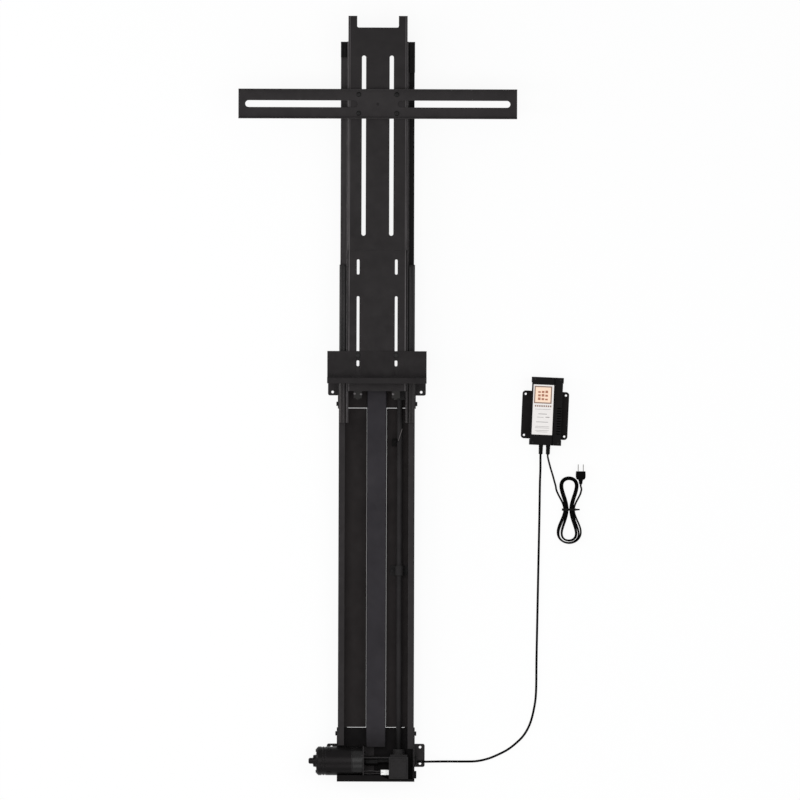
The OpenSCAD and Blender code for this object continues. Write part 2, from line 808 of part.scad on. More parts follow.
module mast_section() {
    bend = 3;
    difference() {
        union() {
            translate([-half_mast, mast_front - mast_fold])
                square([mast_w, mast_fold - bend]);
            translate([bend - half_mast, mast_front - mast_fold])
                square([mast_w - 2 * bend, mast_fold]);
            for (s = [-1, 1]) translate([s * (half_mast - bend), mast_front - bend]) circle(bend);
        }
        translate([mast_t - half_mast, mast_front - mast_fold - 1])
            square([mast_w - 2 * mast_t, mast_fold - mast_t + 1]);
    }
}

module plate_cut(z0 = plate_back - 1) {
    translate([0, 0, z0]) linear_extrude(mast_front - z0 + 1) children();
}

module top_mast_plate() {
    y0 = seam_y + seam_gap / 2;
    corner = 4;
    notch_w = mast_w - 2 * prong_w;
    color("dimgray") difference() {
        along_y(y0, prong_top - y0) mast_section();
        plate_cut(mast_front - mast_fold - 1) {
            translate([-notch_w / 2 + corner, notch_y]) square([notch_w - 2 * corner, prong_h + 1]);
            translate([-notch_w / 2, notch_y + corner]) square([notch_w, prong_h + 1]);
            for (s = [-1, 1]) translate([s * (notch_w / 2 - corner), notch_y + corner])
                circle(corner);
        }
        plate_cut() {
            for (s = [-1, 1]) upright_slot(s * top_slot_x, [top_slot_y0, top_slot_y1], top_slot_w);
            for (x = [-1, 1], y = [-1, 1])
                translate([x * bar_bolt_x, bar_y + y * bar_bolt_y]) circle(d = bolt_d + 2);
        }
    }
}

module lower_mast_plate() {
    color("dimgray") difference() {
        along_y(mast_y0, low_mast_len - seam_gap / 2) mast_section();
        plate_cut() for (s = [-1, 1], span = [low_slot_long, low_slot_short])
            upright_slot(s * low_slot_x, span, low_slot_w);
    }
}

module runner_leg() {
    translate([half_mast, lip_back]) square([runner_t, runner_front - lip_back]);
}

// Thicker end of a runner, below the mast's plates
module runner_foot() {
    thick = 2.6;
    gap = 0.5;
    bore = 3;
    difference() {
        along_y(shoe_y0, mast_y0 - gap - shoe_y0)
            translate([half_mast - thick, lip_back]) square([thick + 0.1, runner_front - lip_back - 6]);
        for (y = [shoe_y0 + 9, mast_y0 - 12])
            translate([half_mast - thick - 1, y, lip_back + 12]) rotate([0, 90, 0])
                cylinder(d = bore, h = thick + 0.5);
    }
}

module left_runner() {
    color("#4a4a4e") mirror([1, 0, 0]) along_y(shoe_y0, runner_top - shoe_y0) {
        runner_leg();
        translate([half_mast, lip_back]) square([lip_out - half_mast, runner_t]);
        translate([lip_out - runner_ridge, lip_back]) square([runner_ridge, runner_t + 2.5]);
    }
    color("#4a4a4e") mirror([1, 0, 0]) runner_foot();
}

module right_runner() {
    color("#4a4a4e") along_y(shoe_y0, runner_top - shoe_y0) {
        runner_leg();
        translate([half_mast, lip_back]) square([rack_x0 - half_mast, runner_t]);
    }
    color("#4a4a4e") runner_foot();
}

module shoe_section(front_out, front_z, edge) {
    polygon([
        [runner_out, rack_front_z], [wing_in, rack_front_z], [wing_in, flange_back - shoe_gap],
        [shoe_root, flange_back - shoe_gap], [shoe_root, rail_depth + shoe_gap],
        [front_out, rail_depth + shoe_gap], [front_out, front_z - edge],
        [front_out - edge, front_z], [shoe_root + 9, front_z], [shoe_root + 8, front_z - 2.5],
        [shoe_root + 5.5, front_z - 2.5], [shoe_root + 4.5, front_z], [shoe_root + 1, front_z],
        [shoe_root + 1, rail_depth + 4], [runner_out, rail_depth + 4]
    ]);
}

module guide_shoe(side) {
    front_z = rail_depth + 14;
    front_out = half_w - 0.6;
    ramp = 10;
    color("#5a5a5e") mirror([side > 0 ? 0 : 1, 0, 0]) difference() {
        along_y(shoe_y0, shoe_len) shoe_section(front_out, front_z, 4);
        translate([0, shoe_y0 + shoe_len, front_z - ramp / 2]) rotate([-45, 0, 0])
            translate([shoe_root + 0.9, -ramp, 0]) cube([rail_flange_w + 1, 2 * ramp, ramp]);
        for (y = [shoe_y0 + 30, shoe_y0 + shoe_len / 2, shoe_y0 + shoe_len - 40])
            translate([shoe_root + 2.8, y, front_z - 1]) cylinder(d = 2.4, h = 3);
    }
}

module top_glide(side, len) {
    color("#1c1c1e") mirror([side > 0 ? 0 : 1, 0, 0])
        along_y(runner_top - len, len)
            shoe_section(lip_out + 0.3, rail_depth + 8, 1.5);
}

module seam_splice() {
    w = mast_w - 2 * mast_t - 1;
    color("gray") translate([-w / 2, seam_y - 18, plate_back - 2.5])
        cube([w, top_slot_y0 - seam_y + 16, 2.5]);
}

module carriage_brace() {
    h = 28;
    d = 13;
    w = mast_w - 2 * mast_t - 0.2;
    color("gray") along_x(-w / 2, w) difference() {
        translate([mast_y0 + 3, plate_back - d]) square([h, d]);
        translate([mast_y0 + 3 + 2.5, plate_back - d - 1]) square([h - 5, d - 1.5]);
    }
}

module carriage_bumpers() {
    w = 20;
    drop = 18;
    color("#77777c") for (s = [-1, 1]) translate([s * low_slot_x - w / 2, mast_y0 - drop, plate_back - 13]) {
        cube([w, drop + 3, 13]);
        translate([w / 2, -3, 6.5]) rotate([-90, 0, 0]) cylinder(d = 10, h = 4);
    }
}

module crossbar() {
    slot_x = bar_len / 2 - bar_slot_len / 2 - 17;
    centre_hole_d = 7;
    color("dimgray") difference() {
        union() {
            translate([-bar_len / 2, bar_y - bar_h / 2, mast_front]) cube([bar_len, bar_h, bar_t]);
            for (y = [bar_y - bar_h / 2, bar_y + bar_h / 2 - bar_t])
                translate([-bar_len / 2, y, mast_front]) cube([bar_len, bar_t, bar_lip + bar_t]);
        }
        translate([0, bar_y, mast_front - 1]) linear_extrude(bar_t + 2) {
            for (s = [-1, 1]) translate([s * slot_x, 0]) slot(bar_slot_len, bar_slot_w);
            circle(d = centre_hole_d);
            for (x = [-1, 1], y = [-1, 1])
                translate([x * bar_bolt_x, y * bar_bolt_y]) circle(d = bolt_d + 2);
        }
    }
}

// Shank through a joint that is grip thick, with its nut and tail behind
module inner_nut(grip) {
    translate([0, 0, -grip - inner_nut_h]) hex_head(bolt_head_d, inner_nut_h);
    translate([0, 0, -grip - inner_nut_h - bolt_tail])
        cylinder(d = bolt_d, h = grip + inner_nut_h + bolt_tail + 1);
}

module crossbar_bolts() {
    color("silver") for (x = [-1, 1], y = [-1, 1])
        translate([x * bar_bolt_x, bar_y + y * bar_bolt_y, mast_front + bar_t]) {
            cylinder(d = 12, h = 3.5);
            inner_nut(bar_t + mast_t);
        }
}

module shelf_bracket() {
    bend = 3;
    color("dimgray") difference() {
        along_x(-shelf_w / 2, shelf_w) translate([shelf_y, mast_front]) {
            translate([bend, 0]) square([shelf_h - bend, shelf_t]);
            translate([0, bend]) square([shelf_t, shelf_depth - 2 * bend]);
            intersection() {
                translate([bend, bend]) circle(bend);
                square([bend, bend]);
            }
            translate([shelf_t - shelf_lip, shelf_depth - shelf_t])
                square([shelf_lip - bend, shelf_t]);
            translate([shelf_t - bend, shelf_depth - bend]) intersection() {
                circle(bend);
                square([bend, bend]);
            }
        }
        translate([0, 0, mast_front - 1]) linear_extrude(shelf_t + 2) for (s = [-1, 1]) {
            upright_slot(s * low_slot_x, [shelf_y + 5, shelf_bolt_y - shelf_washer_d / 2 - 5.5],
                low_slot_w + 4);
            translate([s * low_slot_x, shelf_bolt_y]) circle(d = bolt_d + 0.6);
        }
    }
}

module shelf_bolts() {
    color("silver") for (s = [-1, 1])
        translate([s * low_slot_x, shelf_bolt_y, mast_front + shelf_t]) {
            cylinder(d = shelf_washer_d, h = 1.5);
            translate([0, 0, 1.5]) hex_head(11.5, 4.5);
            inner_nut(shelf_t + mast_t);
        }
}

// Power supply

module at_supply() {
    translate(supply_pos) rotate([0, 0, supply_turn]) children();
}

module supply_base() {
    color("#2a2a2c") at_supply() {
        translate(flange_offset) linear_extrude(supply_t) difference() {
            rounded(supply_flange_w, supply_flange_len, 8);
            for (x = [-1, 1], y = [-1, 1])
                translate([x * supply_hole_dx / 2, y * supply_hole_dy / 2])
                    circle(d = supply_hole_d);
        }
        linear_extrude(supply_t) rounded(supply_w, supply_len, 4);
    }
}

module cover_section(inset) {
    w = supply_w - 2 * inset;
    h = supply_h - supply_t - inset;
    polygon([
        [-w / 2, 0], [w / 2, 0], [w / 2, h - shoulder_drop - 3], [w / 2 - 3, h - shoulder_drop],
        [w / 2 - shoulder_w + 3, h - shoulder_drop], [w / 2 - shoulder_w, h - 2],
        [w / 2 - shoulder_w - 2, h], [3 - w / 2, h], [-w / 2, h - 3]
    ]);
}

module supply_cover() {
    wall = 2.5;
    vents = 11;
    vent_step = 6.4;
    color("#2a2a2c") at_supply() difference() {
        union() {
            translate([0, 0, supply_t]) along_y(-supply_len / 2, supply_len) cover_section(0);
            for (s = [-1, 1]) translate([-supply_w / 2 - 1.5, s * (supply_len / 2 - 7) - 7, supply_t])
                cube([supply_w + 3, 14, supply_h - supply_t - shoulder_drop - 6]);
        }
        translate([0, 0, supply_t - 0.01]) along_y(wall - supply_len / 2, supply_len - 2 * wall)
            cover_section(wall);
        for (i = [0 : vents - 1])
            translate([supply_w / 2 - 12, 7 - i * vent_step, supply_h - shoulder_drop - 6])
                cube([13, 2.6, 8]);
        for (x = relief_x) translate([x, -supply_len / 2 - 1, relief_z]) rotate([-90, 0, 0])
            cylinder(d = 8, h = wall + 2);
    }
}

module supply_label() {
    color("white") at_supply()
        translate([-supply_w / 2 + 3.5, -supply_len / 2 + 26, supply_h]) cube([51, 125, 0.3]);
}

module transformer() {
    color("#7a5a3a") at_supply() translate([-26, 10, supply_t]) {
        cube([50, 42, 34]);
        translate([9, -6, 6]) cube([32, 54, 24]);
    }
}

module control_board() {
    color("darkgreen") at_supply() translate([-32, -72, supply_t]) {
        for (x = [5, 59], y = [5, 65]) translate([x, y, 0]) cylinder(d = 6, h = 5);
        translate([0, 0, 5]) cube([64, 70, 1.6]);
        for (y = [22, 42]) translate([6, y, 6.6]) cube([16, 13, 15]);
        translate([36, 44, 6.6]) cylinder(d = 16, h = 22);
        translate([32, 14, 6.6]) cube([22, 8, 12]);
    }
}

module lead_reliefs() {
    color("black") at_supply() for (i = [0, 1])
        translate([relief_x[i], -supply_len / 2 + 3, relief_z]) rotate([90, 0, 0]) {
            cylinder(d = 7.8, h = 4);
            translate([0, 0, 3]) rotate_extrude() polygon([
                [0, 0], [5.6, 0], [5.6, 5], [4.6, 6], [4.6, 7.5], [5.2, 8], [5.2, 10], [4.4, 10.5],
                [4.4, 12], [5, 12.5], [5, 14.5], [4.2, 15], [4.2, 16.5], [4.7, 17],
                [4.5, relief_len - 1], [3.4, relief_len], [0, relief_len]
            ]);
        }
}

// Cords

function unit(v) = v / norm(v);

function supply_point(x, y, z) = [
    supply_pos[0] + x * cos(supply_turn) - y * sin(supply_turn),
    supply_pos[1] + x * sin(supply_turn) + y * cos(supply_turn),
    z
];

function relief_tip(i, out) = supply_point(relief_x[i], -supply_len / 2 - relief_len - out, relief_z);

// Point on the smooth curve through four neighbouring points, between b and c
function curve_point(a, b, c, d, t) =
    0.5 * (2 * b + (c - a) * t + (2 * a - 5 * b + 4 * c - d) * t * t
        + (3 * b - a - 3 * c + d) * t * t * t);

function curve_through(p, step) = let (n = len(p)) concat([
    for (i = [0 : n - 2])
        let (
            a = i > 0 ? p[i - 1] : 2 * p[0] - p[1],
            d = i < n - 2 ? p[i + 2] : 2 * p[n - 1] - p[n - 2],
            parts = max(1, round(norm(p[i + 1] - p[i]) / step))
        )
        for (k = [0 : parts - 1]) curve_point(a, p[i], p[i + 1], d, k / parts)
], [p[n - 1]]);

function path_dir(p, i) = unit(p[min(i + 1, len(p) - 1)] - p[max(i - 1, 0)]);

module tube(path, d, sides) {
    count = len(path);
    points = [
        for (i = [0 : count - 1])
            let (t = path_dir(path, i), side = unit(cross(t, [0, 0, 1])), up = cross(side, t))
            for (k = [0 : sides - 1])
                let (a = 360 * (k + 0.5) / sides)
                path[i] + d / 2 * (cos(a) * side + sin(a) * up)
    ];
    walls = [
        for (i = [0 : count - 2], k = [0 : sides - 1])
            let (n = (k + 1) % sides, a = i * sides, b = (i + 1) * sides)
            each [[a + k, a + n, b + n], [a + k, b + n, b + k]]
    ];
    caps = [
        for (k = [1 : sides - 2])
            each [[0, k + 1, k], [(count - 1) * sides, (count - 1) * sides + k, (count - 1) * sides + k + 1]]
    ];
    polyhedron(points, concat(walls, caps), convexity = 10);
}

// Inner outline of the hank's loops at an angle
function hank_outline(a) = [
    (hank_waist + hank_swell * pow(abs(sin(a)), hank_round)) * cos(a), hank_half * sin(a)
];

// One point of the hank, a turn of u degrees after its start
function hank_point(u) = let (
    spiral = 360 * hank_turns,
    a = hank_start + u,
    inner = max(0, min(spiral - u, spiral)),
    outer = max(0, u - spiral - 180),
    layer_out = hank_step * (u < spiral ? inner : outer) / 360,
    climb = min(1, max(0, (u - spiral) / 180)),
    place = hank_outline(a),
    along = hank_outline(a + 1) - hank_outline(a - 1),
    n = unit([along[1], -along[0]]),
    loose = layer_out > 0.62 * hank_step * hank_turns
        ? hank_side * (layer_out / (hank_step * hank_turns) - 0.62) / 0.38 : 0,
    side = loose * pow(sin(2 * a), 2) * sign(cos(a))
) [
    hank_pos[0] + place[0] + layer_out * n[0] + side,
    hank_pos[1] + place[1] + layer_out * n[1],
    hank_z + hank_lift * climb
];

hank_core = [for (u = [0 : hank_ring : hank_total]) hank_point(u)];
hank_in = hank_core[0] - unit(hank_core[1] - hank_core[0]) * 1.6 * mains_lead_d;
hank_last = len(hank_core) - 1;
hank_out = hank_core[hank_last]
    + unit(hank_core[hank_last] - hank_core[hank_last - 1]) * 1.6 * mains_lead_d;
hank_path = concat([hank_in], hank_core, [hank_out]);

hank_least = min([
    for (i = [0 : hank_last - 9], j = [i + 9 : hank_last]) norm(hank_core[i] - hank_core[j])
]);
echo(hank_self_gap = hank_least - mains_lead_d);

motor_lead_start = [gland_tip, gland_y, gland_z];
motor_lead_path = concat(
    [motor_lead_start],
    curve_through(concat([motor_lead_start + [motor_lead_d, 0, 0]], motor_lead_points,
        [relief_tip(0, motor_lead_d)]), 3.2 * motor_lead_d),
    [relief_tip(0, 0)]
);
mains_lead_path = concat(
    [relief_tip(1, 0)],
    curve_through(concat([relief_tip(1, mains_lead_d)], mains_lead_points,
        [hank_in - unit(hank_core[0] - hank_in) * mains_lead_d]), 3 * mains_lead_d),
    [hank_in]
);
plug_tail = [plug_pos[0], plug_pos[1] - 12, plug_pos[2]];
plug_lead_path = concat(
    [hank_out],
    curve_through(concat([hank_out + unit(hank_out - hank_core[hank_last]) * mains_lead_d],
        plug_lead_points, [plug_tail - [0, mains_lead_d, 0]]), 3 * mains_lead_d),
    [plug_tail]
);
echo(free_rings = len(motor_lead_path) + len(mains_lead_path) + len(plug_lead_path));

function path_len(p) = sum_from(p, 0);
function sum_from(p, i) = i >= len(p) - 1 ? 0 : norm(p[i + 1] - p[i]) + sum_from(p, i + 1);
echo(lengths = [path_len(motor_lead_path), path_len(mains_lead_path), path_len(hank_path),
    path_len(plug_lead_path)]);

module motor_lead() {
    color("#1a1a1a") tube(motor_lead_path, motor_lead_d, 8);
}

module mains_lead() {
    color("#1a1a1a") tube(mains_lead_path, mains_lead_d, 8);
}

module mains_hank() {
    color("#1a1a1a") tube(hank_path, mains_lead_d, 6);
}

module plug_lead() {
    color("#1a1a1a") tube(plug_lead_path, mains_lead_d, 8);
}

module hank_tie() {
    side_room = 1.6;
    room = 0.3;
    half = hank_waist + hank_step * hank_turns + mains_lead_d / 2 + side_room;
    low = hank_z - mains_lead_d / 2 - room;
    high = hank_z + hank_lift + mains_lead_d / 2 + room;
    color("#111111") {
        along_y(hank_pos[1] - tie_w / 2, tie_w) difference() {
            translate([hank_pos[0] - half - tie_t, low - tie_t])
                square([2 * half + 2 * tie_t, high - low + 2 * tie_t]);
            translate([hank_pos[0] - half, low]) square([2 * half, high - low]);
        }
        translate([hank_pos[0] + half + tie_t, hank_pos[1] - tie_w / 2, high - 4])
            cube([9, tie_w, tie_t + 1]);
    }
}

module plug_body() {
    color("#1a1a1a") translate(plug_pos) {
        translate([0, plug_h / 2, -plug_thick / 2]) linear_extrude(plug_thick)
            rounded(plug_w, plug_h, 3);
        rotate([90, 0, 0]) rotate_extrude() polygon([
            [0, -1], [6.5, -1], [6, 3], [5.2, 5], [5.2, 7], [4.4, 8], [4, 12], [0, 12]
        ]);
    }
}

module plug_blades() {
    color("gold") for (s = [-1, 1])
        translate(plug_pos + [s * blade_gap / 2 - 0.75, plug_h, -3.15]) difference() {
            cube([1.5, 17, 6.3]);
            translate([-1, 12, 3.15]) rotate([0, 90, 0]) cylinder(d = 3, h = 4);
        }
}

left_side_rail();
right_side_rail();
back_panel(-1);  // left_back_panel
back_panel(1);  // right_back_panel
bottom_cross_plate();
top_cross_plate();
centre_spine();
base_tray();
top_wall_bracket(-1);  // top_left_wall_bracket
top_wall_bracket(1);  // top_right_wall_bracket
bottom_left_wall_bracket();
bottom_right_wall_bracket();
frame_bolts();
motor_can();
motor_end_bell();
motor_gearhead();
motor_bracket();
wire_connector();
motor_wires();
lower_gearbox();
lower_gearbox_cover();
shaft_support();
upper_gearbox();
pinion_bush();
cable_gland();
limit_switch();
cross_shaft();
shaft_coupling();
drive_shaft();
pinion_shaft();
drive_pinion();
top_mast_plate();
lower_mast_plate();
left_runner();
right_runner();
gear_rack();
guide_shoe(-1);  // left_guide_shoe
guide_shoe(1);  // right_guide_shoe
top_glide(-1, left_glide_len);  // top_left_glide
top_glide(1, right_glide_len);  // top_right_glide
seam_splice();
carriage_brace();
carriage_bumpers();
crossbar();
crossbar_bolts();
shelf_bracket();
shelf_bolts();
supply_base();
supply_cover();
supply_label();
transformer();
control_board();
lead_reliefs();
motor_lead();
mains_lead();
mains_hank();
plug_lead();
hank_tie();
plug_body();
plug_blades();
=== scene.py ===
"""Looks of the television lift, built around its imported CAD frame.

Sizes are written in millimetres and turned to metres by MM or mm().
"""

import json
import math

import bmesh
import bpy
from mathutils import Matrix, Vector


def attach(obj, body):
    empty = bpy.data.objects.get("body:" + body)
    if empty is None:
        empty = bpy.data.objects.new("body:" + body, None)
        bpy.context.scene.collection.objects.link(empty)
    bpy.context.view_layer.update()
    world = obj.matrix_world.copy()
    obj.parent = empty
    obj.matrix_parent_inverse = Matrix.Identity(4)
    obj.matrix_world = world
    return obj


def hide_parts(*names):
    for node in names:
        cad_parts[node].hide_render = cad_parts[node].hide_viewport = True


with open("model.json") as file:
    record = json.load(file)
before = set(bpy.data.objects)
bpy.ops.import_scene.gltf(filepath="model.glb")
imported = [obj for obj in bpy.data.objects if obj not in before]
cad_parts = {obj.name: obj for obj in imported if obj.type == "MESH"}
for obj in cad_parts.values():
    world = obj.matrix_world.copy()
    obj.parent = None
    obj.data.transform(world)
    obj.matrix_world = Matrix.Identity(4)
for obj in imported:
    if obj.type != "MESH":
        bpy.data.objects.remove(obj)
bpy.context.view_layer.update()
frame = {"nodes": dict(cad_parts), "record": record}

MM = 0.001
FRAME = "frame"
MAST = "mast"

# Places that part.scad gives, in millimetres
MOTOR_AXIS = (-13.0, 42.0)
MOTOR_R = 36.0
CAN_X = (-144.0, -60.0)
MOTOR_PLATE_X = -29.5
GLAND_TIP = (104.0, -15.0, 25.0)
WIRE_Y = -41.0
WIRE_Z = 50.0
CONNECTOR_X = 13.0
BRACKET_OUT = 97.5
MAST_FRONT = 78.0
BAR_Y = 1629.0
BAR_T = 2.5
BAR_BOLT = (47.5, 23.4)
SHELF_T = 3.0
BUMPER_FRONT = 75.5
SHELF_BOLT = (47.6, 1001.0)
SUPPLY_POS = (424.5, 863.0)
SUPPLY_TURN = math.radians(-2.3)
SUPPLY_SIZE = (77.0, 170.0, 48.0)
RELIEF_X = (-10.0, 8.0)
RELIEF_LEN = 23.0
RELIEF_Z = 18.0
PLUG_POS = (511.0, 692.0, 9.7)
PLUG_SIZE = (25.0, 21.0, 15.0)
PLUG_TAIL_LEN = 12


def mm(*point):
    return Vector(point) * MM


# Camera

MM_PER_PIXEL = 2.5
FRAME_PIXELS = 800
CAMERA_AIM = (57.87, 890.0, 50.0)
CAMERA_DISTANCE = 24000.0
CAMERA_ROLL = math.radians(0.19)
SENSOR = 36
VIEW_END = 60

camera_data = bpy.data.cameras.new("camera")
camera_data.sensor_width = SENSOR
camera_data.lens = SENSOR * CAMERA_DISTANCE / (MM_PER_PIXEL * FRAME_PIXELS)
camera_data.clip_end = VIEW_END
camera = bpy.data.objects.new("camera", camera_data)
bpy.context.scene.collection.objects.link(camera)
camera.location = mm(CAMERA_AIM[0], CAMERA_AIM[1], CAMERA_AIM[2] + CAMERA_DISTANCE)
camera.rotation_euler = (0, 0, CAMERA_ROLL)
bpy.context.scene.camera = camera


# Material graph

FOLD_BLUR = 0.5 * MM
BEVEL_SAMPLES = 4
FLAT_DOT = 0.99
EDGE_DOT = 0.8


class Graph:
    """A node tree with short calls for the nodes that the materials share."""

    def __init__(self, name):
        self.material = bpy.data.materials.new(name)
        self.material.use_nodes = True
        self.nodes = self.material.node_tree.nodes
        self.links = self.material.node_tree.links
        self.shader = self.nodes["Principled BSDF"]
        self.place = self.node("ShaderNodeTexCoord").outputs["Object"]

    def node(self, kind, **settings):
        made = self.nodes.new(kind)
        for key, value in settings.items():
            setattr(made, key, value)
        return made

    def set(self, socket, value):
        if isinstance(value, bpy.types.NodeSocket):
            self.links.new(value, socket)
        else:
            socket.default_value = value

    def scaled(self, x, y, z):
        mapping = self.node("ShaderNodeMapping")
        self.links.new(self.place, mapping.inputs["Vector"])
        mapping.inputs["Scale"].default_value = (x, y, z)
        return mapping.outputs["Vector"]

    def noise(self, scale, detail=3.0, where=None, roughness=0.5):
        made = self.node("ShaderNodeTexNoise")
        self.links.new(where or self.place, made.inputs["Vector"])
        made.inputs["Scale"].default_value = scale
        made.inputs["Detail"].default_value = detail
        made.inputs["Roughness"].default_value = roughness
        return made.outputs["Fac"]

    def cells(self, scale):
        made = self.node("ShaderNodeTexVoronoi", feature="F1")
        self.links.new(self.place, made.inputs["Vector"])
        made.inputs["Scale"].default_value = scale
        return made.outputs["Distance"]

    def ramp(self, value, low, high, to_low=0.0, to_high=1.0):
        made = self.node("ShaderNodeMapRange")
        self.links.new(value, made.inputs["Value"])
        for key, number in (("From Min", low), ("From Max", high), ("To Min", to_low), ("To Max", to_high)):
            made.inputs[key].default_value = number
        return made.outputs["Result"]

    def off_middle(self, edge):
        """0 nearer the column's middle plane than edge, and 1 a little beyond it."""
        axes = self.node("ShaderNodeSeparateXYZ")
        self.links.new(self.place, axes.inputs["Vector"])
        return self.ramp(self.math("ABSOLUTE", axes.outputs["X"], 0), edge, edge + FOLD_BLUR)

    def along_y(self, low, high):
        """0 at the height low of the column and 1 at high."""
        axes = self.node("ShaderNodeSeparateXYZ")
        self.links.new(self.place, axes.inputs["Vector"])
        return self.ramp(axes.outputs["Y"], low, high)

    def math(self, operation, a, b):
        made = self.node("ShaderNodeMath", operation=operation)
        self.set(made.inputs[0], a)
        self.set(made.inputs[1], b)
        return made.outputs["Value"]

    def mix(self, factor, a, b):
        made = self.node("ShaderNodeMix", data_type="RGBA")
        self.set(made.inputs["Factor"], factor)
        self.set(made.inputs["A"], a)
        self.set(made.inputs["B"], b)
        return made.outputs["Result"]

    def sharp_edges(self, radius):
        """About 0 on flat stretches, and up to 1 along sharp edges."""
        bevel = self.node("ShaderNodeBevel", samples=BEVEL_SAMPLES)
        bevel.inputs["Radius"].default_value = radius
        geometry = self.node("ShaderNodeNewGeometry")
        dot = self.node("ShaderNodeVectorMath", operation="DOT_PRODUCT")
        self.links.new(bevel.outputs["Normal"], dot.inputs[0])
        self.links.new(geometry.outputs["Normal"], dot.inputs[1])
        return self.ramp(dot.outputs["Value"], FLAT_DOT, EDGE_DOT)

    def relief(self, height, distance, strength, radius=0.0):
        """Bump from a height, over normals rounded at the edges where radius isn't 0."""
        bump = self.node("ShaderNodeBump")
        bump.inputs["Distance"].default_value = distance
        bump.inputs["Strength"].default_value = strength
        self.links.new(height, bump.inputs["Height"])
        if radius:
            bevel = self.node("ShaderNodeBevel", samples=BEVEL_SAMPLES)
            bevel.inputs["Radius"].default_value = radius
            self.links.new(bevel.outputs["Normal"], bump.inputs["Normal"])
        self.links.new(bump.outputs["Normal"], self.shader.inputs["Normal"])

    def finish(self, color, rough, metallic=0.0, specular=0.5, sheen_tint=(1, 1, 1, 1)):
        self.set(self.shader.inputs["Base Color"], color)
        self.set(self.shader.inputs["Roughness"], rough)
        self.shader.inputs["Metallic"].default_value = metallic
        self.shader.inputs["Specular IOR Level"].default_value = specular
        self.shader.inputs["Specular Tint"].default_value = sheen_tint
        return self.material


PLAIN = (1.04, 0.965, 0.985)
WARM = (1.1, 0.96, 0.96)
VIOLET = (1.03, 0.96, 1.1)
BRASSY = (1.14, 1.0, 0.72)

# Shares of a coat's tone in the painted shade at a foot, and in the painted shade on a sheet that turns
# away
FOOT_SHADE = 0.2
TURNED_AWAY_SHADE = 0.25
# Tone of a painted highlight along a fold
FOLD_HIGHLIGHT_TONE = 0.1
# Dust and smears on a coat: noise scale, its roughness, noise from and to, strength, gain in tone
COAT_MARKS = (
    (190, 0.7, 0.62, 0.8, 0.4, 1.8),
    (26, 0.65, 0.56, 0.74, 0.3, 1.7),
)


def tone_of(level, tint=PLAIN):
    return tuple(min(1.0, level * part) for part in tint) + (1,)


def powder_coat(name, tone, rough=0.42, tint=PLAIN, edge=8.0, specular=0.14, streaks=0.0,
                wear_and_highlight_radius=0.0012, shaded_foot=None, lines=(), shaded_beyond=None):
    """Baked powder coat: fine orange peel, soft clouds in the black, and paler edges that are partly rubbed
    wear and partly painted highlight.

    With a foot (low, high), painted shade darkens the coat from the height high down to low. Each
    of lines, (inner, outer), is a painted highlight along a fold, that far from the column's middle,
    and beyond the turn-back distance the sheet bends away and gets painted shade.
    """
    g = Graph(name)
    clouds = g.ramp(g.noise(7, 5, roughness=0.6), 0.3, 0.7)
    base = g.mix(clouds, tone_of(tone * 0.72, tint), tone_of(tone * 1.28, tint))
    # Paler edges: partly rubbed wear, partly painted highlight
    wear_and_highlight = g.math("MULTIPLY", g.sharp_edges(wear_and_highlight_radius), g.ramp(g.noise(60, 4), 0.36, 0.7, 0.4, 1.0))
    color = g.mix(wear_and_highlight, base, tone_of(tone * edge, tint))
    for scale, roughness, low, high, strength, gain in COAT_MARKS:
        marks = g.ramp(g.noise(scale, 5, roughness=roughness), low, high, 0.0, strength)
        color = g.mix(marks, color, tone_of(tone * gain))
    if streaks:
        drawn = g.ramp(g.noise(150, 4, where=g.scaled(1, 0.06, 1)), 0.46, 0.7, 0.0, streaks)
        color = g.mix(drawn, color, tone_of(tone * 2.4))
    # Painted shade: the coat darkens towards the foot
    if shaded_foot:
        color = g.mix(g.along_y(*shaded_foot), tone_of(tone * FOOT_SHADE), color)
    # Painted shade where the sheet turns away
    if shaded_beyond:
        color = g.mix(g.off_middle(shaded_beyond), color, tone_of(tone * TURNED_AWAY_SHADE))
    # Painted highlights along the folds, broken up by noise
    for inner, outer in lines:
        fold_highlight_breakup = g.ramp(g.noise(30, 5, where=g.scaled(1, 0.3, 1)), 0.35, 0.65, 0.45, 1.0)
        band = g.math("SUBTRACT", g.off_middle(inner), g.off_middle(outer))
        color = g.mix(g.math("MULTIPLY", band, fold_highlight_breakup), color, tone_of(FOLD_HIGHLIGHT_TONE, tint))
    grain = g.math("ADD", g.noise(1500, 2), g.math("MULTIPLY", g.noise(420, 2), 1.6))
    g.relief(grain, 0.00006, 0.35, 0.0013)
    sheen = g.ramp(g.noise(45, 4), 0.3, 0.7, rough - 0.05, rough + 0.08)
    return g.finish(color, sheen, specular=specular, sheen_tint=tone_of(0.95, tint))


def cast_metal(name, tone, rough=0.55, tint=PLAIN, specular=0.08):
    """Painted casting: pebbled skin with darker pits."""
    g = Graph(name)
    skin = g.noise(620, 5, roughness=0.65)
    pits = g.ramp(g.cells(340), 0.12, 0.4)
    color = g.mix(pits, tone_of(tone * 0.7, tint), tone_of(tone * 1.1, tint))
    color = g.mix(g.sharp_edges(0.001), color, tone_of(tone * 2.2, tint))
    g.relief(g.math("ADD", skin, g.math("MULTIPLY", pits, 0.4)), 0.00016, 0.45, 0.0012)
    return g.finish(color, g.ramp(g.noise(80), 0.3, 0.7, rough - 0.08, rough + 0.08), specular=specular)


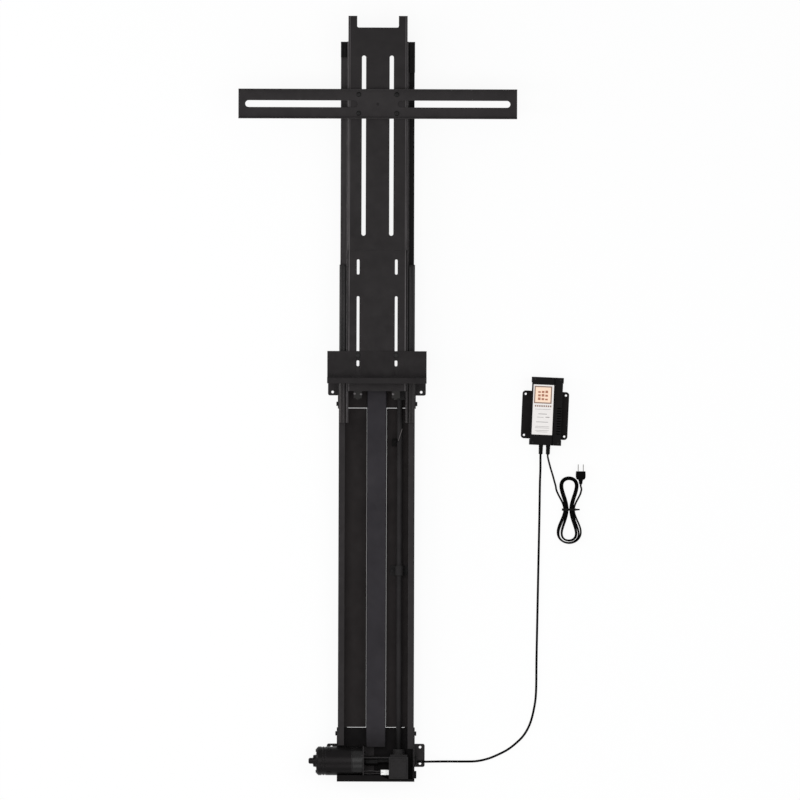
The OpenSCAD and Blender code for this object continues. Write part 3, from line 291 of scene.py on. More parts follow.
def worked_steel(name, tone, rough, grain=(1, 1, 60), tint=PLAIN, metallic=1.0, specular=0.5,
                 shaded_foot=None):
    """Drawn or turned steel with a fine grain along it and a film of oil in patches."""
    g = Graph(name)
    lines = g.noise(260, 4, where=g.scaled(*grain))
    film = g.ramp(g.noise(24, 4), 0.4, 0.66)
    color = g.mix(g.ramp(lines, 0.3, 0.7), tone_of(tone * 0.82, tint), tone_of(tone * 1.12, tint))
    color = g.mix(film, color, tone_of(tone * 0.72, tint))
    # Painted shade: the steel darkens towards the foot
    if shaded_foot:
        color = g.mix(g.along_y(*shaded_foot), tone_of(tone * FOOT_SHADE), color)
    g.relief(lines, 0.00003, 0.4, 0.0004)
    sheen = g.ramp(lines, 0.3, 0.7, rough - 0.06, rough + 0.1)
    return g.finish(color, sheen, metallic=metallic, specular=specular)


def scuffed(name, tone, scuff, low, high):
    """Guide shoe skin: dull black, rubbed to a speckled grey from the height high down to low."""
    g = Graph(name)
    worn = g.along_y(high, low)
    speckle = g.ramp(g.noise(330, 5, roughness=0.75), 0.4, 0.62)
    drawn = g.ramp(g.noise(120, 4, where=g.scaled(1, 0.08, 1)), 0.42, 0.66)
    base = g.mix(drawn, tone_of(tone * 0.7), tone_of(tone * 1.9))
    grey = g.mix(speckle, tone_of(scuff * 0.6, WARM), tone_of(scuff * 1.5, WARM))
    color = g.mix(worn, base, grey)
    color = g.mix(g.math("MULTIPLY", g.sharp_edges(0.0012), 0.7), color, tone_of(scuff * 1.6))
    g.relief(speckle, 0.00008, 0.4, 0.0012)
    return g.finish(color, g.ramp(drawn, 0, 1, 0.42, 0.6), specular=0.14)


def moulded(name, color, rough=0.5, texture=0.00005, specular=0.04, edge=2.6):
    """Moulded plastic with a spark-eroded skin, faint flow clouds and slightly polished edges."""
    g = Graph(name)
    low = tuple(c * 0.88 for c in color) + (1,)
    high = tuple(min(1.0, c * 1.1) for c in color) + (1,)
    worn = tuple(min(1.0, c * edge) for c in color) + (1,)
    base = g.mix(g.ramp(g.noise(16, 3), 0.3, 0.7), low, high)
    paint = g.mix(g.math("MULTIPLY", g.sharp_edges(0.0006), 0.6), base, worn)
    g.relief(g.noise(1300, 3, roughness=0.6), texture, 0.4, 0.0005)
    return g.finish(paint, g.ramp(g.noise(70), 0.3, 0.7, rough - 0.06, rough + 0.08), specular=specular)


def jacket(name, tone, rough=0.55, specular=0.02):
    """Flexible cable jacket: small scuffs and a soft sheen."""
    g = Graph(name)
    scuffs = g.ramp(g.noise(120, 5, roughness=0.7), 0.58, 0.76)
    color = g.mix(scuffs, tone_of(tone), tone_of(tone * 1.7))
    g.relief(g.noise(900, 3), 0.00005, 0.35)
    return g.finish(color, g.ramp(scuffs, 0, 1, rough, rough + 0.18), specular=specular)


def paper(name, color):
    """Label stock: a very faint fibre mottle under a satin varnish."""
    g = Graph(name)
    fibre = g.ramp(g.noise(500, 5, roughness=0.7), 0.3, 0.7)
    low = tuple(c * 0.955 for c in color) + (1,)
    g.relief(g.noise(700, 3), 0.00002, 0.3)
    return g.finish(g.mix(fibre, low, tuple(color) + (1,)), 0.42, specular=0.4)


def board(name):
    """Solder mask with a faint pattern of covered tracks."""
    g = Graph(name)
    tracks = g.ramp(g.cells(160), 0.25, 0.3)
    color = g.mix(tracks, (0.0025, 0.006, 0.004, 1), (0.004, 0.009, 0.006, 1))
    g.relief(tracks, 0.00005, 0.4)
    return g.finish(color, 0.5, specular=0.05)


LOOKS = {
    "black_powder_coat": powder_coat("black_powder_coat", 0.0068),
    "panel_coat": powder_coat("panel_coat", 0.0145, rough=0.56, tint=WARM, edge=4.0, specular=0.09),
    # The spine gets painted shade towards its foot
    "spine_coat": powder_coat("spine_coat", 0.0145, rough=0.5, tint=VIOLET, edge=6.0, specular=0.12,
                              shaded_foot=(0.02, 0.075)),
    "blackened_steel": worked_steel("blackened_steel", 0.007, 0.4, metallic=0.2, specular=0.16),
    "motor_enamel": powder_coat("motor_enamel", 0.0046, rough=0.3, edge=10.0, specular=0.08),
    "cast_housing": cast_metal("cast_housing", 0.0135),
    "zinc_plate": powder_coat("zinc_plate", 0.009, rough=0.46, specular=0.12),
    "white_plastic": moulded("white_plastic", (0.86, 0.86, 0.84), rough=0.4, specular=0.4, edge=1.1),
    "wire_insulation": jacket("wire_insulation", 0.04),
    "bronze": worked_steel("bronze", 0.36, 0.4, tint=BRASSY),
    "black_plastic": moulded("black_plastic", (0.0042, 0.004, 0.0038)),
    "bright_steel": worked_steel("bright_steel", 0.24, 0.36, grain=(60, 1, 60)),
    # The dark steel gets painted shade towards its foot
    "dark_steel": worked_steel("dark_steel", 0.022, 0.55, grain=(60, 1, 60), metallic=0.0,
                               specular=0.05, shaded_foot=(0.03, 0.12)),
    "runner_steel": powder_coat("runner_steel", 0.01, streaks=0.6),
    "black_nylon": moulded("black_nylon", (0.0085, 0.008, 0.008)),
    "grey_nylon": moulded("grey_nylon", (0.026, 0.025, 0.024), rough=0.55),
    "label_white": paper("label_white", (0.74, 0.71, 0.69)),
    "transformer_core": cast_metal("transformer_core", 0.12, tint=BRASSY),
    "circuit_board": board("circuit_board"),
    "relief_rubber": moulded("relief_rubber", (0.0045, 0.0043, 0.0043), rough=0.55),
    "cable_jacket": jacket("cable_jacket", 0.0022, specular=0.01),
    "brass": worked_steel("brass", 0.03, 0.45, grain=(1, 60, 1), tint=BRASSY, metallic=0.5, specular=0.2),
}
LABEL_BROWN = paper("label_brown", (0.2, 0.11, 0.075))
LABEL_RUST = paper("label_rust", (0.34, 0.13, 0.075))
LABEL_TINT = paper("label_tint", (0.88, 0.66, 0.5))
LABEL_GREY = paper("label_grey", (0.25, 0.235, 0.23))
PLUG_SKIN = moulded("plug_skin", (0.0014, 0.0013, 0.0013), specular=0.02)

for sub in frame["record"]["subparts"]:
    cad = frame["nodes"][sub["node"]]
    cad.data.materials.clear()
    cad.data.materials.append(LOOKS[sub["material_slot"]])

# Painted highlights along the mast plates' folds
LOW_MAST_FOLD_HIGHLIGHTS = [(69.0 * MM, 70.9 * MM)]
TOP_MAST_FOLD_HIGHLIGHTS = [(68.8 * MM, 70.0 * MM), (72.2 * MM, 73.8 * MM)]
OWN_LOOKS = {
    # The rails get painted shade towards their feet
    "left_side_rail": powder_coat("left_rail_coat", 0.0085, edge=9.0, shaded_foot=(0.0, 0.05)),
    "right_side_rail": powder_coat("right_rail_coat", 0.0085, edge=9.0, shaded_foot=(0.0, 0.05)),
    "top_mast_plate": powder_coat("top_mast_coat", 0.0066, lines=TOP_MAST_FOLD_HIGHLIGHTS),
    # The lower mast plate gets painted shade beyond the fold, where it turns back
    "lower_mast_plate": powder_coat("lower_mast_coat", 0.0066, lines=LOW_MAST_FOLD_HIGHLIGHTS,
                                    shaded_beyond=71.2 * MM),
    "crossbar": powder_coat("crossbar_coat", 0.0118, edge=5.0),
    "shelf_bracket": powder_coat("shelf_coat", 0.0052, specular=0.12),
    "motor_gearhead": cast_metal("gearhead_skin", 0.005, rough=0.27, specular=0.19),
    "cross_shaft": worked_steel("cross_shaft_steel", 0.006, 0.4, metallic=0.0, specular=0.08),
    "shaft_coupling": worked_steel("coupling_steel", 0.004, 0.4, metallic=0.0, specular=0.08),
    # Strong paler edges on the runners: partly wear, partly painted highlight
    "right_runner": powder_coat("right_runner_coat", 0.008, edge=14.0, wear_and_highlight_radius=0.0018, streaks=0.6),
    "left_guide_shoe": scuffed("left_shoe_skin", 0.016, 0.03, 0.87, 1.0),
    "right_guide_shoe": scuffed("right_shoe_skin", 0.014, 0.022, 0.87, 1.0),
    # Painted shade: the bottom cross plate is darkened to stand for the shade next to the motor
    "bottom_cross_plate": powder_coat("cross_plate_shade_coat", 0.0042, rough=0.5, specular=0.05),
    "base_tray": powder_coat("tray_coat", 0.0025, specular=0.05),
    "supply_base": powder_coat("supply_base_coat", 0.0052, tint=WARM, specular=0.05),
    "supply_cover": powder_coat("supply_cover_coat", 0.0042, specular=0.045),
    "left_runner": powder_coat("left_runner_coat", 0.022, wear_and_highlight_radius=0.0018, streaks=0.45),
}
for node, look in OWN_LOOKS.items():
    frame["nodes"][node].data.materials[0] = look


# Mesh helpers

SHARP = math.radians(38)
BEVEL_FROM = math.radians(40)
WELD = 1e-7


def add_mesh(name, bm, look, body, smooth=True):
    bmesh.ops.remove_doubles(bm, verts=bm.verts, dist=WELD)
    bmesh.ops.recalc_face_normals(bm, faces=bm.faces)
    data = bpy.data.meshes.new(name)
    bm.to_mesh(data)
    bm.free()
    data.materials.append(look)
    if smooth:
        data.polygons.foreach_set("use_smooth", [True] * len(data.polygons))
        data.set_sharp_from_angle(angle=SHARP)
    made = bpy.data.objects.new(name, data)
    bpy.context.scene.collection.objects.link(made)
    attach(made, body)
    return made


def frame_at(origin, axis):
    """Matrix that sends local Z to axis and the local origin to a point in millimetres."""
    turn = Vector((0, 0, 1)).rotation_difference(Vector(axis)).to_matrix().to_4x4()
    return Matrix.Translation(mm(*origin)) @ turn


def ring_radius(radius, sides, angle):
    """Radius at an angle of a round (0 sides) or regular outline with that inner radius."""
    if not sides:
        return radius
    step = 2 * math.pi / sides
    return radius / math.cos((angle % step) - step / 2)


def bridge(bm, rings):
    """Joins each ring of points to the next one by a band of faces."""
    for low, high in zip(rings, rings[1:]):
        count = len(low)
        for k in range(count):
            n = (k + 1) % count
            bm.faces.new((low[k], low[n], high[n], high[k]))


def rounded_ring(half_w, half_h, r, steps):
    """(x, y) points round a rectangle about the origin, with round corners of the radius r."""
    points = []
    for cx, cy, start in ((1, 1, 0), (-1, 1, 90), (-1, -1, 180), (1, -1, 270)):
        for k in range(steps + 1):
            a = math.radians(start + 90 * k / steps)
            points.append((cx * (half_w - r) + r * math.cos(a), cy * (half_h - r) + r * math.sin(a)))
    return points


def turned(bm, place, levels, segments=24, close=(True, True)):
    """Adds a turned form. levels holds (radius, height), or (radius, height, sides) for a polygon."""
    rings = []
    for level in levels:
        radius, height = level[0], level[1]
        sides = level[2] if len(level) > 2 else 0
        ring = []
        for k in range(segments):
            angle = 2 * math.pi * k / segments
            r = ring_radius(radius, sides, angle)
            spot = mm(r * math.cos(angle), r * math.sin(angle), height)
            ring.append(bm.verts.new(place @ spot))
        rings.append(ring)
    bridge(bm, rings)
    if close[0]:
        bm.faces.new(rings[0][::-1])
    if close[1]:
        bm.faces.new(rings[-1])


def add_box(bm, place, low, high):
    size = [h - l for l, h in zip(low, high)]
    middle = [(h + l) / 2 for l, h in zip(low, high)]
    made = bmesh.ops.create_cube(bm, size=1)
    bmesh.ops.transform(
        bm, verts=made["verts"],
        matrix=place @ Matrix.Translation(mm(*middle)) @ Matrix.Diagonal((*mm(*size), 1)),
    )


def bevel_edges(made, width, segments=2):
    modifier = made.modifiers.new("edges", "BEVEL")
    modifier.width = width * MM
    modifier.segments = segments
    modifier.limit_method = "ANGLE"
    modifier.angle_limit = BEVEL_FROM


# Cords

MOTOR_LEAD_D = 5.5
MAINS_LEAD_D = 4.6
MOTOR_LEAD_POINTS = [
    (128, -15, 21), (155, -15, 9), (188, -15, 3), (222, -15, 3), (252, -14, 3), (280, -8, 3),
    (305, 2, 3), (330, 15, 3), (352, 32, 3), (371, 52, 3), (386, 80, 3), (396, 118, 3),
    (401, 160, 3), (402, 245, 3), (404, 365, 3), (406, 485, 3), (408, 600, 3), (409, 680, 4),
    (410, 715, 9),
]
MAINS_LEAD_POINTS = [(431, 737, 12), (436, 719, 7), (441, 703, 4.5)]
PLUG_LEAD_POINTS = [(513, 668, 10)]
HANK_POS = (482, 617)
HANK_HALF = 76
HANK_WAIST = 3
HANK_SWELL = 37
HANK_ROUND = 1.8
HANK_STEP = MAINS_LEAD_D + 1.5
HANK_Z = MAINS_LEAD_D / 2 + 1.6
HANK_SIDE = 7
HANK_TURNS = 1.6
HANK_START = 130
HANK_RING = 15
HANK_END = 1335
HANK_EASE = 1.6
HANK_DEGREES = 5
LOOSE_FROM = 0.62


def supply_point(x, y, z):
    c, s = math.cos(SUPPLY_TURN), math.sin(SUPPLY_TURN)
    return Vector((SUPPLY_POS[0] + x * c - y * s, SUPPLY_POS[1] + x * s + y * c, z))


def relief_tip(i, out):
    return supply_point(RELIEF_X[i], -SUPPLY_SIZE[1] / 2 - RELIEF_LEN - out, RELIEF_Z)


def curve_through(points, step):
    """Points along the smooth curve through the given ones, about a step apart."""
    p = [Vector(v) for v in points]
    line = []
    for i in range(len(p) - 1):
        a = p[i - 1] if i else 2 * p[0] - p[1]
        b, c = p[i], p[i + 1]
        d = p[i + 2] if i < len(p) - 2 else 2 * p[-1] - p[-2]
        parts = max(1, round((c - b).length / step))
        for k in range(parts):
            t = k / parts
            line.append(0.5 * (2 * b + (c - a) * t + (2 * a - 5 * b + 4 * c - d) * t * t
                               + (3 * b - a - 3 * c + d) * t ** 3))
    return line + [p[-1]]


def hank_outline(degrees):
    """Inner outline of the hank's loops."""
    a = math.radians(degrees)
    across = HANK_WAIST + HANK_SWELL * abs(math.sin(a)) ** HANK_ROUND
    return Vector((across * math.cos(a), HANK_HALF * math.sin(a)))


def hank_point(u):
    """Point of the hank's centre line, a turn of u degrees after its start."""
    spiral = 360 * HANK_TURNS
    degrees = HANK_START + u
    a = math.radians(degrees)
    inner = max(0, min(spiral - u, spiral))
    outer = max(0, u - spiral - 180)
    layer_out = HANK_STEP * (inner if u < spiral else outer) / 360
    climb = min(1, max(0, (u - spiral) / 180))
    place = hank_outline(degrees)
    along = hank_outline(degrees + 1) - hank_outline(degrees - 1)
    n = Vector((along[1], -along[0])).normalized()
    share = layer_out / (HANK_STEP * HANK_TURNS)
    loose = HANK_SIDE * (share - LOOSE_FROM) / (1 - LOOSE_FROM) if share > LOOSE_FROM else 0
    side = loose * math.sin(2 * a) ** 2 * math.copysign(1, math.cos(a))
    return Vector((
        HANK_POS[0] + place[0] + layer_out * n[0] + side,
        HANK_POS[1] + place[1] + layer_out * n[1],
        HANK_Z + HANK_STEP * climb,
    ))


def add_cord(name, line, diameter, look):
    """A round tube along points in millimetres, as one open curve. Returns it with its length in metres."""
    data = bpy.data.curves.new(name, "CURVE")
    data.dimensions = "3D"
    data.bevel_depth = diameter / 2 * MM
    data.bevel_resolution = 3
    data.use_fill_caps = True
    spline = data.splines.new("POLY")
    spline.points.add(len(line) - 1)
    for point, place in zip(spline.points, line):
        point.co = (*(place * MM), 1)
    spline.use_smooth = True
    data.materials.append(look)
    made = bpy.data.objects.new(name, data)
    bpy.context.scene.collection.objects.link(made)
    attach(made, FRAME)
    return made, sum((b - a).length for a, b in zip(line, line[1:])) * MM


lead_start = Vector(GLAND_TIP)
motor_line = [lead_start] + curve_through(
    [lead_start + Vector((MOTOR_LEAD_D, 0, 0)), *MOTOR_LEAD_POINTS, relief_tip(0, MOTOR_LEAD_D)], 5
) + [relief_tip(0, 0)]
motor_lead, motor_lead_len = add_cord(
    "motor_lead_cord", motor_line, MOTOR_LEAD_D, LOOKS["cable_jacket"])
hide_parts("motor_lead")

hank_line = [hank_point(u) for u in range(0, HANK_END + 1, HANK_DEGREES)]
hank_ring_1 = hank_point(HANK_RING)
hank_in = hank_line[0] - (hank_ring_1 - hank_line[0]).normalized() * HANK_EASE * MAINS_LEAD_D
hank_before_end = hank_point(HANK_END - HANK_RING)
hank_dir = (hank_line[-1] - hank_before_end).normalized()
hank_out = hank_line[-1] + hank_dir * HANK_EASE * MAINS_LEAD_D
plug_tail = Vector((PLUG_POS[0], PLUG_POS[1] - PLUG_TAIL_LEN, PLUG_POS[2]))
mains_line = (
    [relief_tip(1, 0)]
    + curve_through([relief_tip(1, MAINS_LEAD_D), *MAINS_LEAD_POINTS,
                     hank_in - (hank_line[0] - hank_in).normalized() * MAINS_LEAD_D], 4)
    + [hank_in] + hank_line + [hank_out]
    + curve_through([hank_out + hank_dir * MAINS_LEAD_D, *PLUG_LEAD_POINTS,
                     plug_tail - Vector((0, MAINS_LEAD_D, 0))], 4)
    + [plug_tail]
)


# Plug and tie on the mains lead

# Half width and place of the body's sections, in shares of its width and length
PLUG_OUTLINE = ((0.36, 0.0), (0.44, 0.12), (0.484, 0.34), (0.484, 0.9), (0.46, 1.0))
PLUG_CORNER = 4.0
PLUG_CORNER_STEPS = 4
GRIPS = 3
GRIP_FROM = 5.5
GRIP_STEP = 3.6
GRIP_WIDE = 2.0
GRIP_DEEP = 1.0
GRIP_HALF = 4
PLUG_TAIL = (
    (6.4, -2), (6.2, 1), (5.6, 3), (4.7, 3.4), (4.7, 4.6), (5.2, 5), (5.1, 6.6), (4.2, 7),
    (4.2, 8.2), (4.6, 8.6), (4.4, 10.2), (3.4, 11), (3.2, PLUG_TAIL_LEN),
)


def add_plug():
    w, h, t = PLUG_SIZE
    place = Matrix.Translation(mm(*PLUG_POS))
    bm = bmesh.new()
    rings = []
    for a, b in PLUG_OUTLINE:
        half_t = t * (0.36 + 0.14 * min(1, b * 4))
        section = rounded_ring(w * a, half_t, PLUG_CORNER, PLUG_CORNER_STEPS)
        rings.append([bm.verts.new(place @ mm(x, h * b, z)) for x, z in section])
    bridge(bm, rings)
    bm.faces.new(rings[0])
    bm.faces.new(rings[-1][::-1])
    for k in range(GRIPS):
        y = GRIP_FROM + GRIP_STEP * k
        for x in (-w / 2, w / 2 - GRIP_DEEP):
            add_box(bm, place, (x, y, -GRIP_HALF), (x + GRIP_DEEP, y + GRIP_WIDE, GRIP_HALF))
    turned(bm, frame_at(PLUG_POS, (0, -1, 0)), PLUG_TAIL)
    made = add_mesh("mains_plug", bm, PLUG_SKIN, FRAME)
    bevel_edges(made, 0.4)
    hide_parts("plug_body")
    return made


TIE_ROOM = 1.6
TIE_GAP = 0.3
TIE_THICK = 1.1
TIE_WIDE = 5.6
TIE_CORNER = 2.4
TIE_CORNER_STEPS = 5
# Start and end past the tie's side, half width, and the two depths below the tie's top
TIE_HEAD = (-0.2, 4.2, 2.2, 4.2, 1.0)
TIE_TAIL = (3.8, 9, 1.9, 3.6, 2.4)


def add_tie():
    """The flat tie round the hank's waist, with its head and the tail behind it."""
    half = HANK_WAIST + HANK_STEP * HANK_TURNS + MAINS_LEAD_D / 2 + TIE_ROOM
    low = HANK_Z - MAINS_LEAD_D / 2 - TIE_GAP
    high = HANK_Z + HANK_STEP + MAINS_LEAD_D / 2 + TIE_GAP
    bm = bmesh.new()
    rings = []
    for grow, side in ((0, -1), (TIE_THICK, -1), (TIE_THICK, 1), (0, 1)):
        section = rounded_ring(half + grow, (high - low) / 2 + grow, TIE_CORNER + grow, TIE_CORNER_STEPS)
        y = HANK_POS[1] + side * TIE_WIDE / 2
        rings.append([bm.verts.new(mm(HANK_POS[0] + x, y, (low + high) / 2 + z)) for x, z in section])
    bridge(bm, rings + rings[:1])
    here = Matrix.Identity(4)
    right = HANK_POS[0] + half + TIE_THICK
    for x0, x1, half_w, deep, shallow in (TIE_HEAD, TIE_TAIL):
        add_box(bm, here, (right + x0, HANK_POS[1] - half_w, high - deep),
                (right + x1, HANK_POS[1] + half_w, high - shallow))
    made = add_mesh("mains_tie", bm, LOOKS["black_plastic"], FRAME)
    bevel_edges(made, 0.25)
    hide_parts("hank_tie")
    return made


plug = add_plug()
tie = add_tie()
mains_lead, mains_lead_len = add_cord(
    "mains_lead_cord", mains_line, MAINS_LEAD_D, LOOKS["cable_jacket"])
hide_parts("mains_lead", "mains_hank", "plug_lead")


# Ribbed strain reliefs on the power supply

RIBS = 6
RIB_FROM = 5.2
RIB_STEP = 2.7
RIB_R = 5.6
RIB_TAPER = 0.06
RIB_DEEP = 0.8


def relief_levels():
    """Collar, ribs and tip of a strain relief, as levels for turned()."""
    levels = [(3.8, -2.5), (3.8, 0), (RIB_R, 0.05), (RIB_R, 4.4), (5.2, 5.0)]
    for k in range(RIBS):
        y = RIB_FROM + k * RIB_STEP
        r = RIB_R - RIB_TAPER * k
        levels += [(r - RIB_DEEP, y), (r - RIB_DEEP, y + 0.7), (r, y + 0.9), (r - 0.1, y + RIB_STEP - 0.2)]
    return levels + [(4.9, 21.6), (4.5, RELIEF_LEN - 0.5), (3.4, RELIEF_LEN)]


def add_reliefs():
    bm = bmesh.new()
    down = (math.sin(SUPPLY_TURN), -math.cos(SUPPLY_TURN), 0)
    for x in RELIEF_X:
        base = supply_point(x, -SUPPLY_SIZE[1] / 2, RELIEF_Z)
        turned(bm, frame_at(base, down), relief_levels(), segments=28)
    made = add_mesh("ribbed_reliefs", bm, LOOKS["relief_rubber"], FRAME)
    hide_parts("lead_reliefs")


add_reliefs()


# Bolts

BOLT_R = 3.0
NUT_FLAT = 5.5
NUT_HIGH = 5
NUT_FROM = 2
MAST_SHEET = 2.5
TAIL_PAST = 7
WASHER_HIGH = 1.5
BUMPER_SCREW_AT = ((-55.5, 905.5), (-39.5, 904.5), (40.5, 904.5))
BUMPER_SCREW = ((2.9, -0.3), (2.9, 0.35), (2.4, 0.7), (1.0, 0.7, 6), (1.0, 0.1, 6))
COLUMN_BOLT_Y = (880, 972, 55)
COLUMN_BOLT_Z = 14
COLUMN_BOLT_TAIL = -8.4
COLUMN_NUT_FRONT = -4.6
COLUMN_FLAT = 5.4
TRAY_BOLT = (97, -48, 14)


def socket_head(bm, place, radius, height, socket):
    """A button head with a hexagon socket."""
    turned(bm, place, [
        (radius * 0.94, 0), (radius, height * 0.2), (radius * 0.96, height * 0.55),
        (radius * 0.8, height * 0.85), (radius * 0.62, height), (socket, height, 6),
        (socket, height * 0.45, 6),
    ], segments=30)


def hex_bolt_head(bm, place, flat, height):
    """A hexagon head with a chamfered crown and a washer face."""
    turned(bm, place, [
        (flat * 0.96, 0), (flat * 0.96, height * 0.08), (flat, height * 0.1, 6),
        (flat, height * 0.82, 6), (flat * 0.93, height),
    ], segments=30)


def washer(bm, place, inner, outer, thick):
    turned(bm, place, [(inner, 0), (outer, 0), (outer, thick * 0.7), (outer - 0.4, thick), (inner, thick),
                       (inner, 0)], segments=30, close=(False, False))


def shank(bm, place, radius, low, high):
    turned(bm, place, [(radius - 0.5, low), (radius, low + 0.5), (radius, high)], segments=20)


def nut(bm, place, flat, low, high):
    turned(bm, place, [(flat, low, 6), (flat, high, 6)])


def add_mast_bolts():
    bm = bmesh.new()
    tail = -BAR_T - MAST_SHEET - TAIL_PAST
    for sx in (-1, 1):
        for sy in (-1, 1):
            place = frame_at((sx * BAR_BOLT[0], BAR_Y + sy * BAR_BOLT[1], MAST_FRONT + BAR_T), (0, 0, 1))
            socket_head(bm, place, radius=6.0, height=3.4, socket=2.0)
            shank(bm, place, BOLT_R, tail, 0.1)
            nut(bm, place, NUT_FLAT, tail + NUT_FROM, tail + NUT_FROM + NUT_HIGH)
    made = add_mesh("crossbar_button_bolts", bm, LOOKS["blackened_steel"], MAST)
    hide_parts("crossbar_bolts")
    bm = bmesh.new()
    tail = -SHELF_T - MAST_SHEET - TAIL_PAST
    for sx in (-1, 1):
        place = frame_at((sx * SHELF_BOLT[0], SHELF_BOLT[1], MAST_FRONT + SHELF_T), (0, 0, 1))
        washer(bm, place, inner=3.2, outer=7.0, thick=WASHER_HIGH)
        hex_bolt_head(bm, place @ Matrix.Translation(mm(0, 0, WASHER_HIGH)), flat=5.0, height=4.4)
        shank(bm, place, BOLT_R, tail, WASHER_HIGH + 0.1)
        nut(bm, place, NUT_FLAT, tail + NUT_FROM, tail + NUT_FROM + NUT_HIGH)
    made = add_mesh("shelf_hex_bolts", bm, LOOKS["blackened_steel"], MAST)
    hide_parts("shelf_bolts")


def add_bumper_screws():
    """Small screws in the front of the two bumpers under the carriage."""
    bm = bmesh.new()
    for x, y in BUMPER_SCREW_AT:
        turned(bm, frame_at((x, y, BUMPER_FRONT), (0, 0, 1)), BUMPER_SCREW, segments=18)
    look = worked_steel("screw_steel", 0.09, 0.42, metallic=0.6, specular=0.2)
    add_mesh("bumper_screws", bm, look, MAST)


def add_frame_bolts():
    """The brackets' side bolts with their nuts, and the large bolt in the side of the tray."""
    bm = bmesh.new()
    for side in (-1, 1):
        for y in COLUMN_BOLT_Y:
            place = frame_at((side * BRACKET_OUT, y, COLUMN_BOLT_Z), (side, 0, 0))
            hex_bolt_head(bm, place, flat=COLUMN_FLAT, height=3.9)
            shank(bm, place, BOLT_R, COLUMN_BOLT_TAIL, 0.1)
            nut(bm, place, COLUMN_FLAT, COLUMN_BOLT_TAIL, COLUMN_NUT_FRONT)
    place = frame_at(TRAY_BOLT, (1, 0, 0))
    hex_bolt_head(bm, place, flat=9.4, height=4.9)
    shank(bm, place, BOLT_R, -1.9, 0.1)
    made = add_mesh("column_bolts", bm, LOOKS["blackened_steel"], FRAME)
    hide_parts("frame_bolts")


add_mast_bolts()
add_bumper_screws()
add_frame_bolts()


# Dark hems that narrow the open slits round the back panels, standing in for the shade behind the slits

PANEL_IN = 25.4
PANEL_OUT = 92.9
PANEL_Y = (71.2, 868.3)
PANEL_Z = (2.1, 3.9)
HEM_IN = 0.55
HEM_END = 0.8


def add_slit_shading_hems():
    bm = bmesh.new()
    here = Matrix.Identity(4)
    low, high = PANEL_Y
    back, front = PANEL_Z
    for side in (-1, 1):
        inner = (side * PANEL_IN, side * (PANEL_IN - HEM_IN))
        add_box(bm, here, (min(inner), low, back), (max(inner), high, front))
        across = (side * (PANEL_IN + 0.1), side * PANEL_OUT)
        for y in ((low - HEM_END, low), (high, high + HEM_END)):
            add_box(bm, here, (min(across), y[0], back), (max(across), y[1], front))
    add_mesh("slit_shading_hems", bm, LOOKS["panel_coat"], FRAME, smooth=False)


add_slit_shading_hems()


# Limit switch beside the drive shaft, with its spring lever in front of the shaft

SWITCH_LOW = (38.0, 774.0, 4.0)
SWITCH_SIZE = (11.0, 19.0, 12.0)
LEVER_FOOT = (53.9, 787.5, 32.5)
LEVER_TIP = (63.6, 818.0)
LEVER_W = 1.3
LEVER_T = 1.2
# Post beside the body's middle that carries the arm, and the arm's stretch along Y
POST_LOW = (6, 11)
POST_HIGH = (10, 15)
ARM_Y = (12, 14)
LAP = 0.1
SWITCH_SCREW_Y = (3.75, 15.25)
SWITCH_SCREW = ((1.6, -0.2), (1.6, 0.5), (1.2, 0.8), (0.6, 0.8, 6), (0.6, 0.3, 6))


def add_switch():
    x, y, z = SWITCH_LOW
    w, h, t = SWITCH_SIZE
    here = Matrix.Identity(4)
    front = LEVER_FOOT[2]
    bm = bmesh.new()
    add_box(bm, here, (x, y, z), (x + w, y + h, z + t))
    add_box(bm, here, (x + POST_LOW[0], y + POST_LOW[1], z + t - 1),
            (x + POST_HIGH[0], y + POST_HIGH[1], front + LEVER_T))
    add_box(bm, here, (x + POST_HIGH[0] - LAP, y + ARM_Y[0], front + LAP / 2),
            (LEVER_FOOT[0] + 0.5, y + ARM_Y[1], front + LEVER_T - LAP / 2))
    for up in SWITCH_SCREW_Y:
        turned(bm, frame_at((x + w / 2, y + up, z + t), (0, 0, 1)), SWITCH_SCREW, segments=18)
    body = add_mesh("switch_body", bm, LOOKS["black_plastic"], FRAME)
    bevel_edges(body, 0.4)
    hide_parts("limit_switch")
    bm = bmesh.new()
    across, along = LEVER_TIP[0] - LEVER_FOOT[0], LEVER_TIP[1] - LEVER_FOOT[1]
    place = Matrix.Translation(mm(*LEVER_FOOT)) @ Matrix.Rotation(-math.atan2(across, along), 4, "Z")
    reach = math.hypot(across, along)
    add_box(bm, place, (-LEVER_W / 2, 0, 0), (LEVER_W / 2, reach, LEVER_T))
    look = worked_steel("lever_steel", 0.12, 0.45, tint=WARM, metallic=0.0, specular=0.2)
    lever = add_mesh("switch_lever", bm, look, FRAME)
    bevel_edges(lever, 0.2)


add_switch()


# Power supply's label, screws and trim

def at_supply(x, y, z):
    return Matrix.Translation(supply_point(x, y, z) * MM) @ Matrix.Rotation(SUPPLY_TURN, 4, "Z")


LABEL_LOW = (-35.0, -59.0)
LABEL_TOP = SUPPLY_SIZE[2] + 0.3


def label_bars(name, look, bars):
    """Thin printed bars on the label, each (x, y, w, h) from its lower left corner."""
    bm = bmesh.new()
    here = at_supply(LABEL_LOW[0], LABEL_LOW[1], LABEL_TOP)
    for x, y, w, h in bars:
        add_box(bm, here, (x, y, -0.05), (x + w, y + h, 0.04))
    return add_mesh(name, bm, look, FRAME, smooth=False)


def border(x, y, w, h, line):
    return [(x, y, w, line), (x, y + h - line, w, line), (x, y + line, line, h - 2 * line),
            (x + w - line, y + line, line, h - 2 * line)]


MOTIF_SIDE = 3
MOTIF_LOW = (12.0, 86.4)
MOTIF_STEP = 9
MOTIF_WIDE = 6.6
BAND_MARKS = 8
BAND_STEP = 5.4

